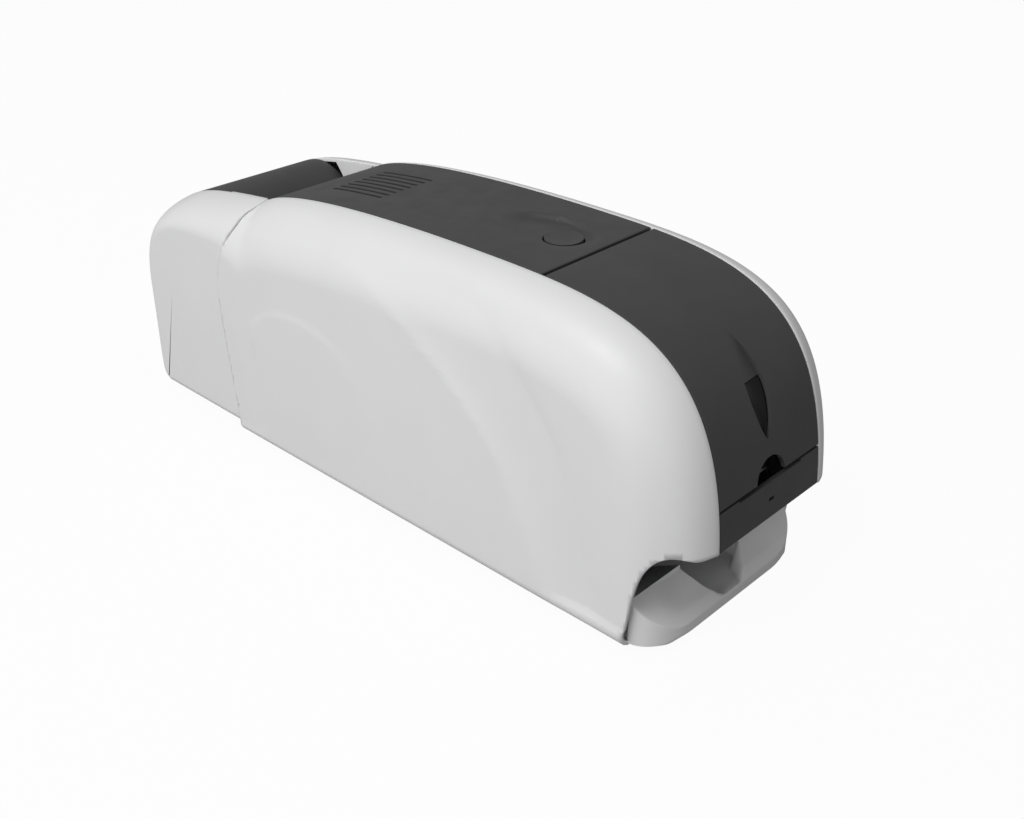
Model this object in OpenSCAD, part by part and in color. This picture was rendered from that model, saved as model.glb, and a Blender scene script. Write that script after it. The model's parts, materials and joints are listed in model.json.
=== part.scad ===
// Desktop card printer with a hopper in front, a print mechanism under a lid and a card turner at the rear.

// Millimetres. X is the width, the front faces -Y, Z is up and the feet stand on Z = 0.

/* [Casing] */
// Overall width across the two side covers
body_w = 173; // [168:1:180]
// Width of the dark covers between the side covers
cover_w = 99.2; // [96:0.2:104]
// Height of the top of the casing
top_z = 202; // [200:1:206]
// Height of the lower edge of the casing at the front
lip_z = 75; // [74:1:77]
// Height of the lower edge of the side covers
skirt_z = 5; // [4.5:0.5:6]
// Wall of the side covers
side_wall = 2.5; // [2:0.1:3]
// Wall of the dark covers
cover_wall = 2.8; // [2.4:0.1:3.2]
// Gap between a moving cover and its neighbours
cover_gap = 0.4; // [0.35:0.05:0.8]
// Depth of the rounded shoulder of the side covers
shoulder_d = 42; // [38:1:45]
// Place of the seam between top cover and front cover
seam_y = -118.3; // [-119:0.1:-117.5]
// Width of the open joint at that seam
seam_gap = 2.4; // [2.2:0.1:3]
// Length of the rear module behind the seam
module_l = 110; // [108:1:113]
// Height of the lower edge of the rear module
module_z = 9; // [8:0.5:12]
// Gap between main casing and rear module
module_gap = 0.5; // [0.4:0.1:1]

/* [Feet and base] */
// Radius of a rubber foot
foot_r = 8; // [6:0.5:10]
// Height of a rubber foot under the base pan
foot_h = 4; // [3.5:0.25:4]
// Sheet thickness of the base pan
pan_t = 2; // [1.5:0.25:2.25]
// Height of the output tray at its wings
wing_z = 37; // [34:1:40]

/* [Frame] */
// Distance from the middle to the inner face of a chassis plate
plate_x = 40; // [39.5:0.25:41]
// Thickness of a chassis plate
plate_t = 2; // [1.5:0.25:2.5]
// Height of the card path above the floor
path_z = 97.5; // [96.5:0.25:98]
// Height of the lower edge of the chassis plates
plate_z = 77; // [76:0.5:79]
// Distance of the chassis edge below the covers
plate_drop = 8; // [7:0.5:10]

/* [Rollers] */
// Radius of the roller shafts
shaft_r = 2.5; // [2:0.25:3]
// Radial clearance of a shaft in its hole
run_fit = 0.06; // [0.03:0.01:0.08]
// Radius of the transport rollers
roll_r = 7; // [6:0.25:7.5]
// Radius of the platen roller
platen_r = 8; // [7:0.25:8.5]
// Half length of the rubber on a roller
rubber_x = 30; // [28:0.5:32]
// Radius of the belt pulleys
pulley_r = 8; // [7:0.25:9]
// Thickness of the drive belt
belt_t = 1.4; // [1:0.1:1.8]
// Width of the drive belt
belt_w = 6; // [5:0.5:7]

/* [Ribbon] */
// Radius of the film wound on the supply spool
supply_r = 17; // [14:0.5:19]
// Radius of the film wound on the take-up spool
takeup_r = 11; // [9:0.5:13]
// Radius of a spool flange
flange_r = 21; // [20:0.5:22]
// Height of the spool axes
spool_z = 152; // [150:0.5:154]
// Thickness of the ribbon film
film_t = 0.3; // [0.25:0.05:0.4]

/* [Controls] */
// Radius of the release button
button_r = 12; // [10:0.5:13]
// Radius of a cover hinge rod
hinge_r = 2; // [1.5:0.25:2.5]

/* [Card turner] */
// Radius of the turning cradle
cradle_r = 43; // [40:0.5:44]
// Distance from the middle to the cradle bearings
cradle_x = 38; // [36:0.5:39]
// Radius of the rear lid
lid_r = 40; // [39:0.5:41]

/* [Hidden] */
$fn = 64;
e = 0.01;
bx = body_w / 2;
cx = cover_w / 2;
sx = cx + cover_gap;                       // inner edge of the side covers
dz = top_z - 202;
rear_y = 157 + module_l;
mid_y = (rear_y - 252)/2;                  // middle of the length, which stands over the origin
white = [0.86, 0.86, 0.87];
dark = [0.22, 0.22, 0.23];
metal = [0.66, 0.67, 0.69];
rubber = [0.12, 0.12, 0.12];
px0 = plate_x;
px1 = plate_x + plate_t;
bore = shaft_r + run_fit;
roll_z = path_z - roll_r - 0.1;
top_roll_z = path_z + 0.9 + 5;
platen_z = path_z - platen_r - 0.1;
feed_y = -150; clean_y = -112; platen_y = -36; t2_y = 38; t3_y = 120;   // roller stations
supply_y = -86; takeup_y = 6;
hinge_y = 128; hinge_z = 174 + dz;
fh_y = -121.8; fh_z = 198 + dz;            // hinge of the front cover
turn_y = 159 + cradle_r; turn_z = path_z + 0.4;   // axis of the card turner
lh_y = rear_y - 2.6; lh_z = 103;           // hinge of the rear lid
rel_y = -90;                               // release button
screw_ys = [-180, -40, 110];               // screws of the side covers
hinge_s = 1.25;                            // radius of the front cover's hinge pins
pan_z = foot_h;                            // underside of the base pan

function bz(p, t) = pow(1-t,3)*p[0] + 3*pow(1-t,2)*t*p[1] + 3*(1-t)*t*t*p[2] + pow(t,3)*p[3];
function db(p, t) = 3*pow(1-t,2)*(p[1]-p[0]) + 6*(1-t)*t*(p[2]-p[1]) + 3*t*t*(p[3]-p[2]);
front_b = [[-252,72],[-245,197+dz],[-184,top_z],[-80,top_z]];
rear_b = [[-80,top_z],[11,top_z],[109,197+dz],[138,181+dz]];
mod_b = [[120,184+dz],[rear_y-54,172+dz],[rear_y+1.8,174.7+dz],[rear_y,87]];
low_b = [[rear_y,87],[rear_y,module_z+16],[rear_y-3,module_z+4.3],[rear_y-19,module_z]];
lid_t = 10/24;                             // where the arc of the lid leaves the rear curve
function nrm(v) = [v[1], -v[0]] / norm(v);  // inward side of a curve that runs front to rear
function along(b, n, i0, d) = [for (i = [i0:n]) bz(b, i/n) + d*nrm(db(b, i/n))];
lid_n = nrm(db(mod_b, lid_t));
lid_y = bz(mod_b, lid_t)[0] + lid_r*lid_n[0]; lid_z = bz(mod_b, lid_t)[1] + lid_r*lid_n[1];
lid_a = atan2(-lid_n[1], -lid_n[0]);
function arc(cy, cz, r, a0, a1, n) = [for (i = [0:n]) let (a = a0 + (a1-a0)*i/n) [cy + r*cos(a),
    cz + r*sin(a)]];
function rev(a) = [for (i = [len(a)-1:-1:0]) a[i]];
function profile(d, n=18) = concat(along(front_b, n, 0, d), along(rear_b, n, 1, d));
function modprof(d, n=12) = concat(along(mod_b, n, 0, d), along(low_b, 8, 1, d));

module ex(x0, x1) translate([x0,0,0]) rotate([90,0,90]) linear_extrude(x1 - x0) children();
module rod(x0, x1, r, y, z) translate([x0,y,z]) rotate([0,90,0]) cylinder(h = x1 - x0, r = r);
module box(x0, x1, y0, y1, z0, z1) translate([x0,y0,z0]) cube([x1-x0, y1-y0, z1-z0]);
module both() { children(); mirror([1,0,0]) children(); }
module zrod(x, y, z0, z1, r) translate([x,y,z0]) cylinder(h = z1 - z0, r = r);

// A rounded side: rings run from the edge at x0 over the shoulder to the flat at x1, with a wall.
// line is [point, inward normal, depth, first x, last x, edge x] all round; the middle is capped flat.
function ring(line, k, m, w) = [for (q = line) let (t = 90*max(0, k-1)/(m-1), d = q[2],
    a = (d*5/6)*(1-cos(t)) + (d/6)*sin(t),
    p = q[0] + (a + w*(0.15 + 0.85*cos(t)))*q[1])
    [k == 0 ? q[5] : q[3] + (q[4] - w - q[3])*sin(t), p[0], p[1]]];
function mean(a) = a*[for (q = a) 1]/len(a);
module dish(line, wall, m=8) {
    n = len(line);
    outer = [for (k = [0:m]) ring(line, k, m, 0)];
    inner = [for (k = [0:m]) ring(line, k, m, wall)];
    mid = [for (r = [outer[m], inner[m]]) [r[0][0], mean([for (q = r) q[1]]), mean([for (q = r) q[2]])]];
    pts = concat([for (r = outer) each r], [for (r = inner) each r], mid);
    o = (m+1)*n;
    faces = concat(
        [for (k = [0:m-1], i = [0:n-1]) let (j = (i+1)%n) each [
            [k*n+i, k*n+j, (k+1)*n+j], [k*n+i, (k+1)*n+j, (k+1)*n+i],
            [o+k*n+j, o+k*n+i, o+(k+1)*n+j], [o+(k+1)*n+j, o+k*n+i, o+(k+1)*n+i]]],
        [for (i = [0:n-1]) let (j = (i+1)%n) each [[j, i, o+j], [o+j, i, o+i]]],
        [for (i = [0:n-1]) let (j = (i+1)%n) each [[m*n+i, m*n+j, 2*o], [o+m*n+j, o+m*n+i, 2*o+1]]]);
    polyhedron(points = pts, faces = faces, convexity = 6);
}

// ---- casing ----
function side_line() = concat(
    [for (z = [30, 52]) [[-252, z], [1,0], shoulder_d, sx + 1, bx, sx]],
    [for (i = [0:20]) [bz(front_b, i/20), nrm(db(front_b, i/20)), shoulder_d, sx + 1, bx, sx]],
    [for (i = [1:12]) [bz(rear_b, i/12), nrm(db(rear_b, i/12)), shoulder_d, sx + 1, bx, sx]],
    [for (t = [1:0.5:2]) let (p = bz(mod_b, t/12)) [p, nrm(db(mod_b, t/12)),
        shoulder_d - 0.5*(p[0] - 138), sx + 1, bx, sx]],
    [for (y = [175:-64.8:-214]) [[y, skirt_z], [0,1], 8 + 0.012*(175 - y), skirt_x(y) + 1, bx,
        skirt_x(y)]]);
function skirt_x(y) = bx - 9 - 0.6*(175 - y)/65;
seam_line = [[148,0],[148,5],[149.5,11],[153,43],[156.8,79.5],[158.7,101.3],[158.4,119.2],[157.6,127.1],
    [155.3,137.1],[150.5,149],[146,159.4],[143,166.8],[141.8,173.8],[138,178.9],[136.4,181.9],
    [136.4,240]];
module seam2d(g) polygon(concat([for (p = seam_line) [p[0] + g, p[1] + dz*max(0, p[1] - 119)/63]],
    [[400,260],[400,0]]));
module side2d() difference() {
    polygon([[-270,lip_z],[-250.5,lip_z],[-247,lip_z-0.6],[-241,lip_z+1.6],[-235,lip_z+1.4],
        [-228.5,lip_z-3.2],
        [-222,61],[-218,46],[-212.6,skirt_z],[-212.6,0],[200,0],[200,240],[-270,240]]);
    seam2d(0);
}
module side_cover() {
    difference() {
        union() {
            intersection() {
                dish(side_line(), side_wall);
                ex(sx - 1, bx + 1) side2d();
            }
            intersection() {                               // bosses for the two cover hinges
                union() {
                    rod(sx, sx + 6, 2.6, fh_y, fh_z);
                    box(sx, sx + 6, fh_y - 2.6, fh_y + 2.6, fh_z - 8, fh_z);
                }
                ex(sx, sx + 7) polygon(concat(profile(0.8), [[138,100],[-252,100]]));
            }
            for (y = screw_ys)                              // feet of the side cover on the base pan
                box(bx - 18, skirt_x(y) + 1.5, y - 5, y + 5, pan_z + pan_t, pan_z + pan_t + 3);
            for (p = [[-138, 6.5], [40, 8.2]]) {                // arms that bear on the chassis plates
                box(px1 + 0.02, sx + 11, p[0] - 4, p[0] + 4, 166, 169);
                box(sx + 8, sx + 11, p[0] - 4, p[0] + 4, 166, top_z - p[1]);
            }
        }
        rod(sx - 1, sx + 4.4, hinge_s + run_fit, fh_y, fh_z);
        for (y = screw_ys) zrod(bx - 14.5, y, pan_z, pan_z + 12, 1.3);
    }
}
module side_cover_left() color(white) mirror([1,0,0]) side_cover();
module side_cover_right() color(white) side_cover();

module cover2d(w, y0, y1, z0) intersection() {
    polygon(concat(profile(0), rev(profile(w))));
    translate([y0, z0]) square([y1 - y0, 300]);
}
module top_cover() color(dark) { lid_shell(); latch_hooks(); }
module lid_shell() difference() {
    union() {
        ex(-cx, cx) cover2d(cover_wall, seam_y + seam_gap/2, 137.5, 100);
        both() difference() {                              // stiff edges under the cover
            ex(cx - 2.4, cx - 0.05) polygon(concat(
                [for (p = profile(0.5)) if (p[0] > seam_y + 6 && p[0] < 120) p],
                rev([for (p = profile(6.5)) if (p[0] > seam_y + 6 && p[0] < 120) p])));
        }
        both() ex(34, 37.6) polygon(concat(arc(hinge_y, hinge_z, 5, 180, 340, 10), [[134,182+dz],
            [112,188+dz]]));
        translate([0, rel_y, top_z - 13]) cylinder(h = 11, r = button_r + 2.4);   // button well
        for (y = [-52, -21]) both() box(24, 30, y - 1.5, y + 1.5, 190 + dz, top_z - 1.6);
    }
    translate([0, rel_y, top_z - 12]) cylinder(h = 20, r = button_r + 0.35);
    translate([0, rel_y, top_z - 20]) cylinder(h = 20, r = 4.4);
    both() rod(33, 39, hinge_r + run_fit, hinge_y, hinge_z);
    for (i = [-3.5:1:3.5]) box(i*6.5 - 1.3, i*6.5 + 1.3, 49.5, 99.5, 180 + dz, 210 + dz);
}
module release_button() color(dark) union() {
    translate([0, rel_y, top_z - 7.4]) difference() {
        cylinder(h = 7, r = button_r);
        translate([0,0,-1]) cylinder(h = 5.6, r = button_r - 1.6);
        translate([0,0,7 + 76]) sphere(r = 77, $fn = 96);
    }
    zrod(0, rel_y, top_z - 17.5, top_z - 2.2, 4);
}
module coil(r, h, wire) rotate_extrude() intersection() {   // closely wound spring
    for (i = [0:ceil(h/(1.8*wire))]) translate([r, wire + i*1.8*wire]) circle(r = wire, $fn = 24);
    square([r + 2*wire, h]);
}
module front_cover() color(dark) { cover_shell(); button_bezel(); }
module cover_shell() difference() {
    union() {
        ex(-cx, cx) cover2d(cover_wall, -260, seam_y - seam_gap/2, lip_z + 26);
        both() rod(sx - 6, cx, 2.5, fh_y, fh_z);
        both() ex(cx - 2.4, cx) polygon(concat(
            [for (p = profile(0.5)) if (p[0] < seam_y - 8 && p[1] > lip_z + 30) p],
            rev([for (p = profile(6)) if (p[0] < seam_y - 8 && p[1] > lip_z + 30) p])));
    }
    both() rod(sx - 8, cx + 1, hinge_s + run_fit, fh_y, fh_z);
    // almond recess of the control button and finger arch at the lower edge
    rotate([90,0,0]) translate([0,0,200]) linear_extrude(80) leaf(8.4, 29);
    ex2() polygon([for (i = [0:16]) let (a = 180*i/16) [14*cos(a), lip_z + 25 + 14*sin(a)]]);
}
module ex2() translate([0,-200,0]) rotate([90,0,0]) linear_extrude(80) children();
module leaf(w, h) translate([0, 152]) polygon(concat(
    [for (i = [0:12]) let (t = i/12) [w*pow(sin(180*t), 1.8), h*cos(180*t)]],
    [for (i = [11:-1:1]) let (t = i/12) [-w*pow(sin(180*t), 1.8), h*cos(180*t)]]));
module leaf_plate(w, h, d0, d1) intersection() {
    rotate([90,0,0]) translate([0,0,200]) linear_extrude(80) leaf(w, h);
    ex(-w - 1, w + 1) polygon(concat([for (p = along(front_b, 30, 0, d0)) p], rev(along(front_b, 30, 0,
        d1))));
}
module button_bezel() difference() {          // liner of the almond recess
    union() {
        leaf_plate(8.3, 28.8, 1.0, cover_wall + 1.4);
        leaf_plate(9.6, 30.4, cover_wall + 0.05, cover_wall + 1.4);
    }
    intersection() {
        rotate([90,0,0]) translate([0,0,200]) linear_extrude(80) leaf(6.9, 25);
        box(-20, 20, -300, 0, 100, 157.4);
    }
}
module control_button() color(dark) union() {
    intersection() {
        leaf_plate(6.5, 24.5, 1.6, cover_wall + 1.9);
        box(-20, 20, -300, 0, 100, 157);
    }
    intersection() {
        leaf_plate(7.9, 26, cover_wall + 1.6, cover_wall + 2.4);
        box(-20, 20, -300, 0, 100, 158.4);
    }
}
module lower_bezel() color(dark) difference() {
    union() {
        ex(-cx, cx) intersection() {
            polygon(concat([[-252,60]], profile(0), rev(profile(cover_wall)), [[cover_wall - 252, 60]]));
            translate([-260, lip_z]) square([40, 24.6]);
        }
        box(-cx, cx, -250, -238, lip_z, lip_z + 2);
        both() box(px0 - 3, px0 - 0.05, -249.5, -227.4, lip_z + 4, lip_z + 16);
    }
    box(-31, 31, -260, -240, lip_z + 23.4, lip_z + 30);
    box(-2.6, 2.6, -260, -240, lip_z + 11.5, lip_z + 13.5);
    both() rod(px0 - 5, px0 + 5, 1.3, -231, lip_z + 10);
}
// ---- feet, pan, tray ----
pan_x = skirt_x(-215) - 0.5;
module base_pan() color(metal) difference() {
    union() {
        box(-pan_x, pan_x, -206, 146, pan_z, pan_z + pan_t);
        both() box(px1 + 0.05, px1 + 8, -100, 140, pan_z + 1, pan_z + pan_t);
        both() box(px1 + 0.05, px1 + 1.6, -96, 136, pan_z + 1, pan_z + 16);
    }
    both() for (y = foot_ys) zrod(foot_x, y, 0, 20, 2.06);
    both() for (y = screw_ys) zrod(bx - 14.5, y, 0, 12, 1.6);
    both() for (y = [-80, 100]) rod(px1 - 1, px1 + 6, 1.3, y, pan_z + 11);
    for (i = [0:9]) box(-30, 30, -60 + 11*i, -56 + 11*i, 0, 9);
}
foot_ys = [-192, 128];
foot_x = 58;
module rubber_feet() color(rubber) both() for (y = foot_ys) union() {
    zrod(foot_x, y, 0, foot_h - 0.02, foot_r);
    zrod(foot_x, y, foot_h - 0.1, foot_h + pan_t + 0.6, 2);
}
tray_x = bx - 12;
module tray_plan(g) polygon([[-bx+1.5-g,-211.9],[-bx+4-g,-217],[-bx+8.5-g,-225],[-bx+15-g,-231],
    [-bx+24-g,-233],
    [bx-24+g,-233],[bx-15+g,-231],[bx-8.5+g,-225],[bx-4+g,-217],[bx-1.5+g,-211.9],[bx-1.5+g,-100],
        [-bx+1.5-g,-100]]);
module output_tray() color(white) difference() {
    intersection() {
        ex(-bx, bx) polygon([[-231.5,6.4],[-229.5,4.4],[-206.6,4.4],[-206.6,pan_z+pan_t+0.05],
            [-116,pan_z+pan_t+0.05],
            [-116,19],[-180,19],[-212,wing_z],[-213,wing_z],[-227,22],[-231,14]]);
        translate([0,0,0]) linear_extrude(60) tray_plan(0);
        union() {                                          // inside the side covers it is narrower
            box(-bx, bx, -240, -212.9, 0, 60);
            box(-pan_x - 4, pan_x + 4, -213, -205, wing_z*0 + 17, 60);
            box(-pan_x + 2, pan_x - 2, -213, -100, 0, 60);
        }
    }
    // hollow under the floor and the card valley between the wings
    box(-tray_x + 6, tray_x - 6, -227, -118, -1, 6 + 0.1);
    box(-29.5, 29.5, -240, -117, 12.5, 60);
    both() box(29.4, 46, -206, -117, 16.5, 60);
    both() zrod(foot_x, foot_ys[0], 0, 9, 2.3);              // clear of the feet and the screws
    both() box(67.5, 90, screw_ys[0] - 7, screw_ys[0] + 7, 0, 13);
    both() ex(73.5, 90) polygon([[-213,-1],[-213,skirt_z],[-218.3,46],[-212.85,46],[-212.85,-1]]);
    intersection() {
        zrod(0, -236, 4, 60, 26);
        box(-30, 30, -262, -200, 8, 60);
    }
}
module stacker_housing() color(dark) { stacker_box(); exit_ramp(); }
module stacker_box() union() {
    box(-47, 47, -234, -105, lip_z - 3.4, lip_z - 1.6);
    both() box(47, 60, -206, -105, lip_z - 3.4, lip_z - 1.6);
    both() box(58, 60, -206, -179, 44, lip_z - 1.7);
    both() box(58, 60, -179.5, -105, 20, lip_z - 1.7);
    difference() {
        box(-60, 60, -107, -105, 20, lip_z - 1.7);
        box(-30, 30, -110, -100, 48, lip_z - 9);
    }
    both() box(58, 66, -179.5, -110, 20, 22);
    both() box(52, 60, -113, -105, pan_z + pan_t + 0.05, 22);
}
module exit_ramp() union() {
    both() ex(30, 34) polygon([[-104.6,46],[-104.6,62],[-96,66],[-80,88],[-74,88],[-74,84],[-90,60],
        [-98,46]]);
    ex(-31, 31) polygon([[-104.6,46],[-104.6,48],[-99,50],[-92,60],[-80,80],[-78,80],[-90,58],[-98,46]]);
    both() box(33.5, px0 - 0.05, -98, -88, 50, 58);
}

// ---- frame ----
module plate2d() difference() {
    union() {
        polygon(concat([[-236,plate_z],[-236,97],[-229,101]],
            [for (p = profile(plate_drop)) if (p[0] < 108 && p[1] > 104 && p[0] > -238) p],
            arc(hinge_y, hinge_z, 5.4, 130, 0, 12),
            [[133.4,160],[140.6,149.9],[150,149.9],[150,24],[142,12],[142,pan_z+pan_t+0.05],
             [-100,pan_z+pan_t+0.05],[-104.5,12],[-104.5,plate_z]]));
    }
    for (y = [feed_y, clean_y, t2_y, t3_y]) translate([y, roll_z]) circle(r = brg_r + 0.02);
    translate([platen_y, platen_z]) circle(r = brg_r + 0.02);
    for (y = [t2_y, t3_y]) translate([y, top_roll_z + 0.1]) circle(r = 1.5 + run_fit);
    translate([takeup_y, spool_z]) circle(r = shaft_r + run_fit);
    translate([supply_y, spool_z]) circle(r = shaft_r + run_fit);
    translate([hinge_y, hinge_z]) circle(r = hinge_r + run_fit);
    translate([-231, lip_z + 10]) circle(r = 1.3);
}
brg_r = shaft_r + 2;
module plate(x0) difference() {
    ex(x0, x0 + plate_t) plate2d();
    for (p = [[-60,30],[0,30],[60,30]]) box(x0 - 1, x0 + plate_t + 1, p[0], p[0] + 34, p[1], p[1] + 22);
    box(x0 - 1, x0 + plate_t + 1, 40, 100, 118, 160);
}
module chassis_plate_left() color(metal) difference() {
    plate(-px1);
    for (p = posts) rod(-px1 - 1, -px0 + 1, 1.3, p[0], p[1]);
}
module chassis_plate_right() color(metal) plate(px0);
module cross_members() color(metal) union() {
    for (p = [[-120,79],[-66,79],[-5,79],[50,79],[103,79]]) box(-px0 + 0.02, px0 - 0.02, p[0],
        p[0] + 7, p[1], p[1] + 2);
    both() box(33, px0 - 0.02, rel_y - 28, rel_y - 20.6, 177.4 + dz,
        179.4 + dz);
    for (p = [[60,168],[140,120],[-224,84]]) rod(-px0 + 0.02, px0 - 0.02, 3, p[0], p[1]);
}
module bearing(x0, y, z) translate([x0, y, z]) rotate([0,90,0]) difference() {
    cylinder(h = plate_t, r = brg_r);
    translate([0,0,-1]) cylinder(h = plate_t + 2, r = bore);
}
module roller_bearings() color([0.8,0.75,0.6]) for (x = [-px1, px0]) {
    for (y = [feed_y, clean_y, t2_y, t3_y]) bearing(x, y, roll_z);
    bearing(x, platen_y, platen_z);
}
module card_guide() color(dark) difference() {             // two rails that carry the card edges
    union() {
        both() box(28, px0 - 0.05, -126, 146, path_z - 2.2, path_z - 0.2);
        both() box(30.6, px0 - 0.05, 48, 146, path_z + 1.6, path_z + 3.2);
        both() box(px0 - 2, px0 - 0.05, 48, 146, path_z - 2.2, path_z + 3.2);
    }
    for (y = [clean_y, platen_y, t2_y, t3_y]) box(-px0 - 1, px0 + 1, y - 9, y + 9, path_z - 4,
        path_z + 8);
}

// ---- rollers ----
module roller(y, z, r, x1, x2) difference() {
    union() {
        rod(-rubber_x, rubber_x, r, y, z);
        rod(-x1, x2, shaft_r, y, z);
    }
}
drive_x = px1 + 9.5;
module driven(y, z, r, pr) { color(rubber) roller(y, z, r, drive_x, px1 + 2); color(metal) pulley(y, z,
    pr); }
module feed_roller() driven(feed_y, roll_z, roll_r, pulley_r);
module cleaning_roller() driven(clean_y, roll_z, roll_r, pulley_r);
module platen_roller() driven(platen_y, platen_z, platen_r, pulley_r - 1.1);
module middle_transport_roller() driven(t2_y, roll_z, roll_r, pulley_r);
module rear_transport_roller() driven(t3_y, roll_z, roll_r, pulley_r);
module pinch(y) union() { rod(-26, 26, 5, y, top_roll_z + 0.1); rod(-px1 - 1, px1 + 1, 1.5, y,
    top_roll_z + 0.1); }
module pinch_roller_middle() color(rubber) pinch(t2_y);
module pinch_roller_rear() color(rubber) pinch(t3_y);
// ---- drive on the left chassis plate ----
belt_x = px1 + 1.2;
module pulley(y, z, r) difference() {
    union() {
        rod(-belt_x - belt_w, -belt_x, r, y, z);
        rod(-belt_x - belt_w - 0.9, -belt_x - belt_w + 0.1, r + 0.6, y, z);
    }
    rod(-belt_x - belt_w - 2, -belt_x + 1, shaft_r + 0.02, y, z);
    for (a = [0:60:300]) translate([0, y, z]) rotate([a,0,0]) rod(-belt_x - belt_w - 2, -belt_x + 1,
        0.7, r - 2.2, 0);
}
motor_y = -8;
module stadium(r) union() {
    translate([feed_y, roll_z]) circle(r = r);
    translate([t3_y, roll_z]) circle(r = r);
    translate([feed_y, roll_z - r]) square([t3_y - feed_y, 2*r]);
}
module drive_belt() color(rubber) ex(-belt_x - belt_w + 0.4, -belt_x - 0.3) difference() {
    stadium(pulley_r + 0.12 + belt_t);
    stadium(pulley_r + 0.12);
}
bracket_x = belt_x + belt_w + 2.4;
posts = [[-66,112],[44,112],[-66,68],[44,68]];
module drive_bracket() color(metal) difference() {
    union() {
        ex(-bracket_x - 2, -bracket_x) polygon([[-72,62],[50,62],[50,164],[18,164],[-20,136],[-72,118]]);
        for (p = posts) rod(-bracket_x - 0.1, -px1 - 0.02, 3.4, p[0], p[1]);
    }
    for (p = posts) rod(-bracket_x - 4, -px1 + 1, 1.3, p[0], p[1]);
    rod(-bracket_x - 4, -bracket_x + 1, 4.5, motor_y, roll_z);
    rod(-bracket_x - 4, -bracket_x + 1, 4.5, rm_y, rm_z);
    rod(-bracket_x - 4, -bracket_x + 1, shaft_r + run_fit, takeup_y, spool_z);
    for (y = [platen_y, t2_y]) rod(-bracket_x - 4, -bracket_x + 1, shaft_r + 0.6, y,
        y == platen_y ? platen_z : roll_z);
}
module motor_can(x, y, z, r, l) difference() {
    union() {
        rod(x - l, x, r, y, z);
        rod(x - 0.2, x + 1.6, 4.2, y, z);
        rod(x - l - 1.5, x - l + 0.1, r*0.45, y, z);
    }
    rod(x - 4, x + 3, 1.6, y, z);
}
module drive_motor() color(metal) motor_can(-bracket_x - 2.03, motor_y, roll_z, 19,
    bx - side_wall - bracket_x - 10.4);
module motor_pulley() color(metal) union() {
    rod(-belt_x - belt_w + 0.3, -belt_x - 0.1, pulley_r - 0.1, motor_y, roll_z);
    rod(-bracket_x - 4.5, -belt_x, 1.5, motor_y, roll_z);
}
// spur wheel with straight-sided teeth, n teeth of module m, turned by a degrees
module wheel2d(n, m, a) rotate(a) polygon([for (i = [0:n-1], q = [[-0.30,-1.15],[-0.12,0.8],
    [0.12,0.8],[0.30,-1.15]])
    let (r = n*m/2 + m*q[1], t = (i + q[0]*0.86)*360/n) [r*cos(t), r*sin(t)]]);
module wheel(x0, x1, y, z, n, m, a) translate([x0,y,z]) rotate([90,0,90])
    linear_extrude(x1 - x0) wheel2d(n, m, a);
gm = 0.8;
takeup_n = 40;
rm_n = 14;
rm_d = gm*(takeup_n + rm_n)/2 + 0.3;       // distance of the ribbon motor from the take-up axis
rm_a = -58;
rm_y = takeup_y + rm_d*cos(rm_a); rm_z = spool_z + rm_d*sin(rm_a);
module takeup_gear() color([0.9,0.88,0.8]) union() {
    difference() {
        wheel(-belt_x - 5, -belt_x, takeup_y, spool_z, takeup_n, gm, rm_a);
        for (a = [0:60:300]) translate([0, takeup_y, spool_z]) rotate([a,0,0]) rod(-60, -px1, 2.2, 9.5,
            0);
    }
    rod(-bracket_x - 1.5, -px0 + 1.7, shaft_r, takeup_y, spool_z);
}
module ribbon_motor_pinion() color([0.9,0.88,0.8]) union() {
    wheel(-belt_x - 5, -belt_x, rm_y, rm_z, rm_n, gm, rm_a + 180 + 180/rm_n);
    rod(-bracket_x - 4.5, -belt_x - 1, 1.5, rm_y, rm_z);
}

// ---- ribbon cassette ----
cas_x = px0 - 4;
module cassette2d() difference() {
    polygon([[-112,143],[-112,166],[-106,172],[-70,172],[-62,166],[-58,146],[-58,112],[-20,112],
        [-18,146],[-14,166],[-6,172],
        [22,172],[30.3,164],[30.3,146],[14,118],[-2,106.5],[-2,103],[-68,103],[-68,108],[-76,118],
            [-104,130]]);
    translate([supply_y, spool_z]) circle(r = shaft_r + run_fit);
    translate([takeup_y, spool_z]) circle(r = shaft_r + run_fit);
}
module ribbon_cassette() color([0.75,0.77,0.8]) union() {
    both() ex(cas_x, cas_x + 2) cassette2d();
    rod(-cas_x - 0.1, cas_x + 0.1, 1.6, -64, 104.6);
    rod(-cas_x - 0.1, cas_x + 0.1, 1.6, -5, 104.6);
    box(-cas_x - 0.1, cas_x + 0.1, -111.5, -109, 146, 162);
    box(-cas_x - 0.1, cas_x + 0.1, 27.6, 30, 146, 162);
    both() for (y = [-100, 10]) box(cas_x + 1.9, px0 - 0.05, y - 3, y + 3, 160, 164);
}
module spool(y, r) union() {
    rod(-rubber_x, rubber_x, r, y, spool_z);
    both() rod(rubber_x - 0.1, rubber_x + 2, flange_r, y, spool_z);
    rod(-cas_x - 1.6, cas_x + 1.6, shaft_r, y, spool_z);
}
module ribbon_supply_spool() color([0.25,0.2,0.3]) spool(supply_y, supply_r);
module ribbon_takeup_spool() { color([0.25,0.2,0.3]) spool(takeup_y, takeup_r); takeup_gear(); }
film_z = path_z + 1.3;
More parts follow.
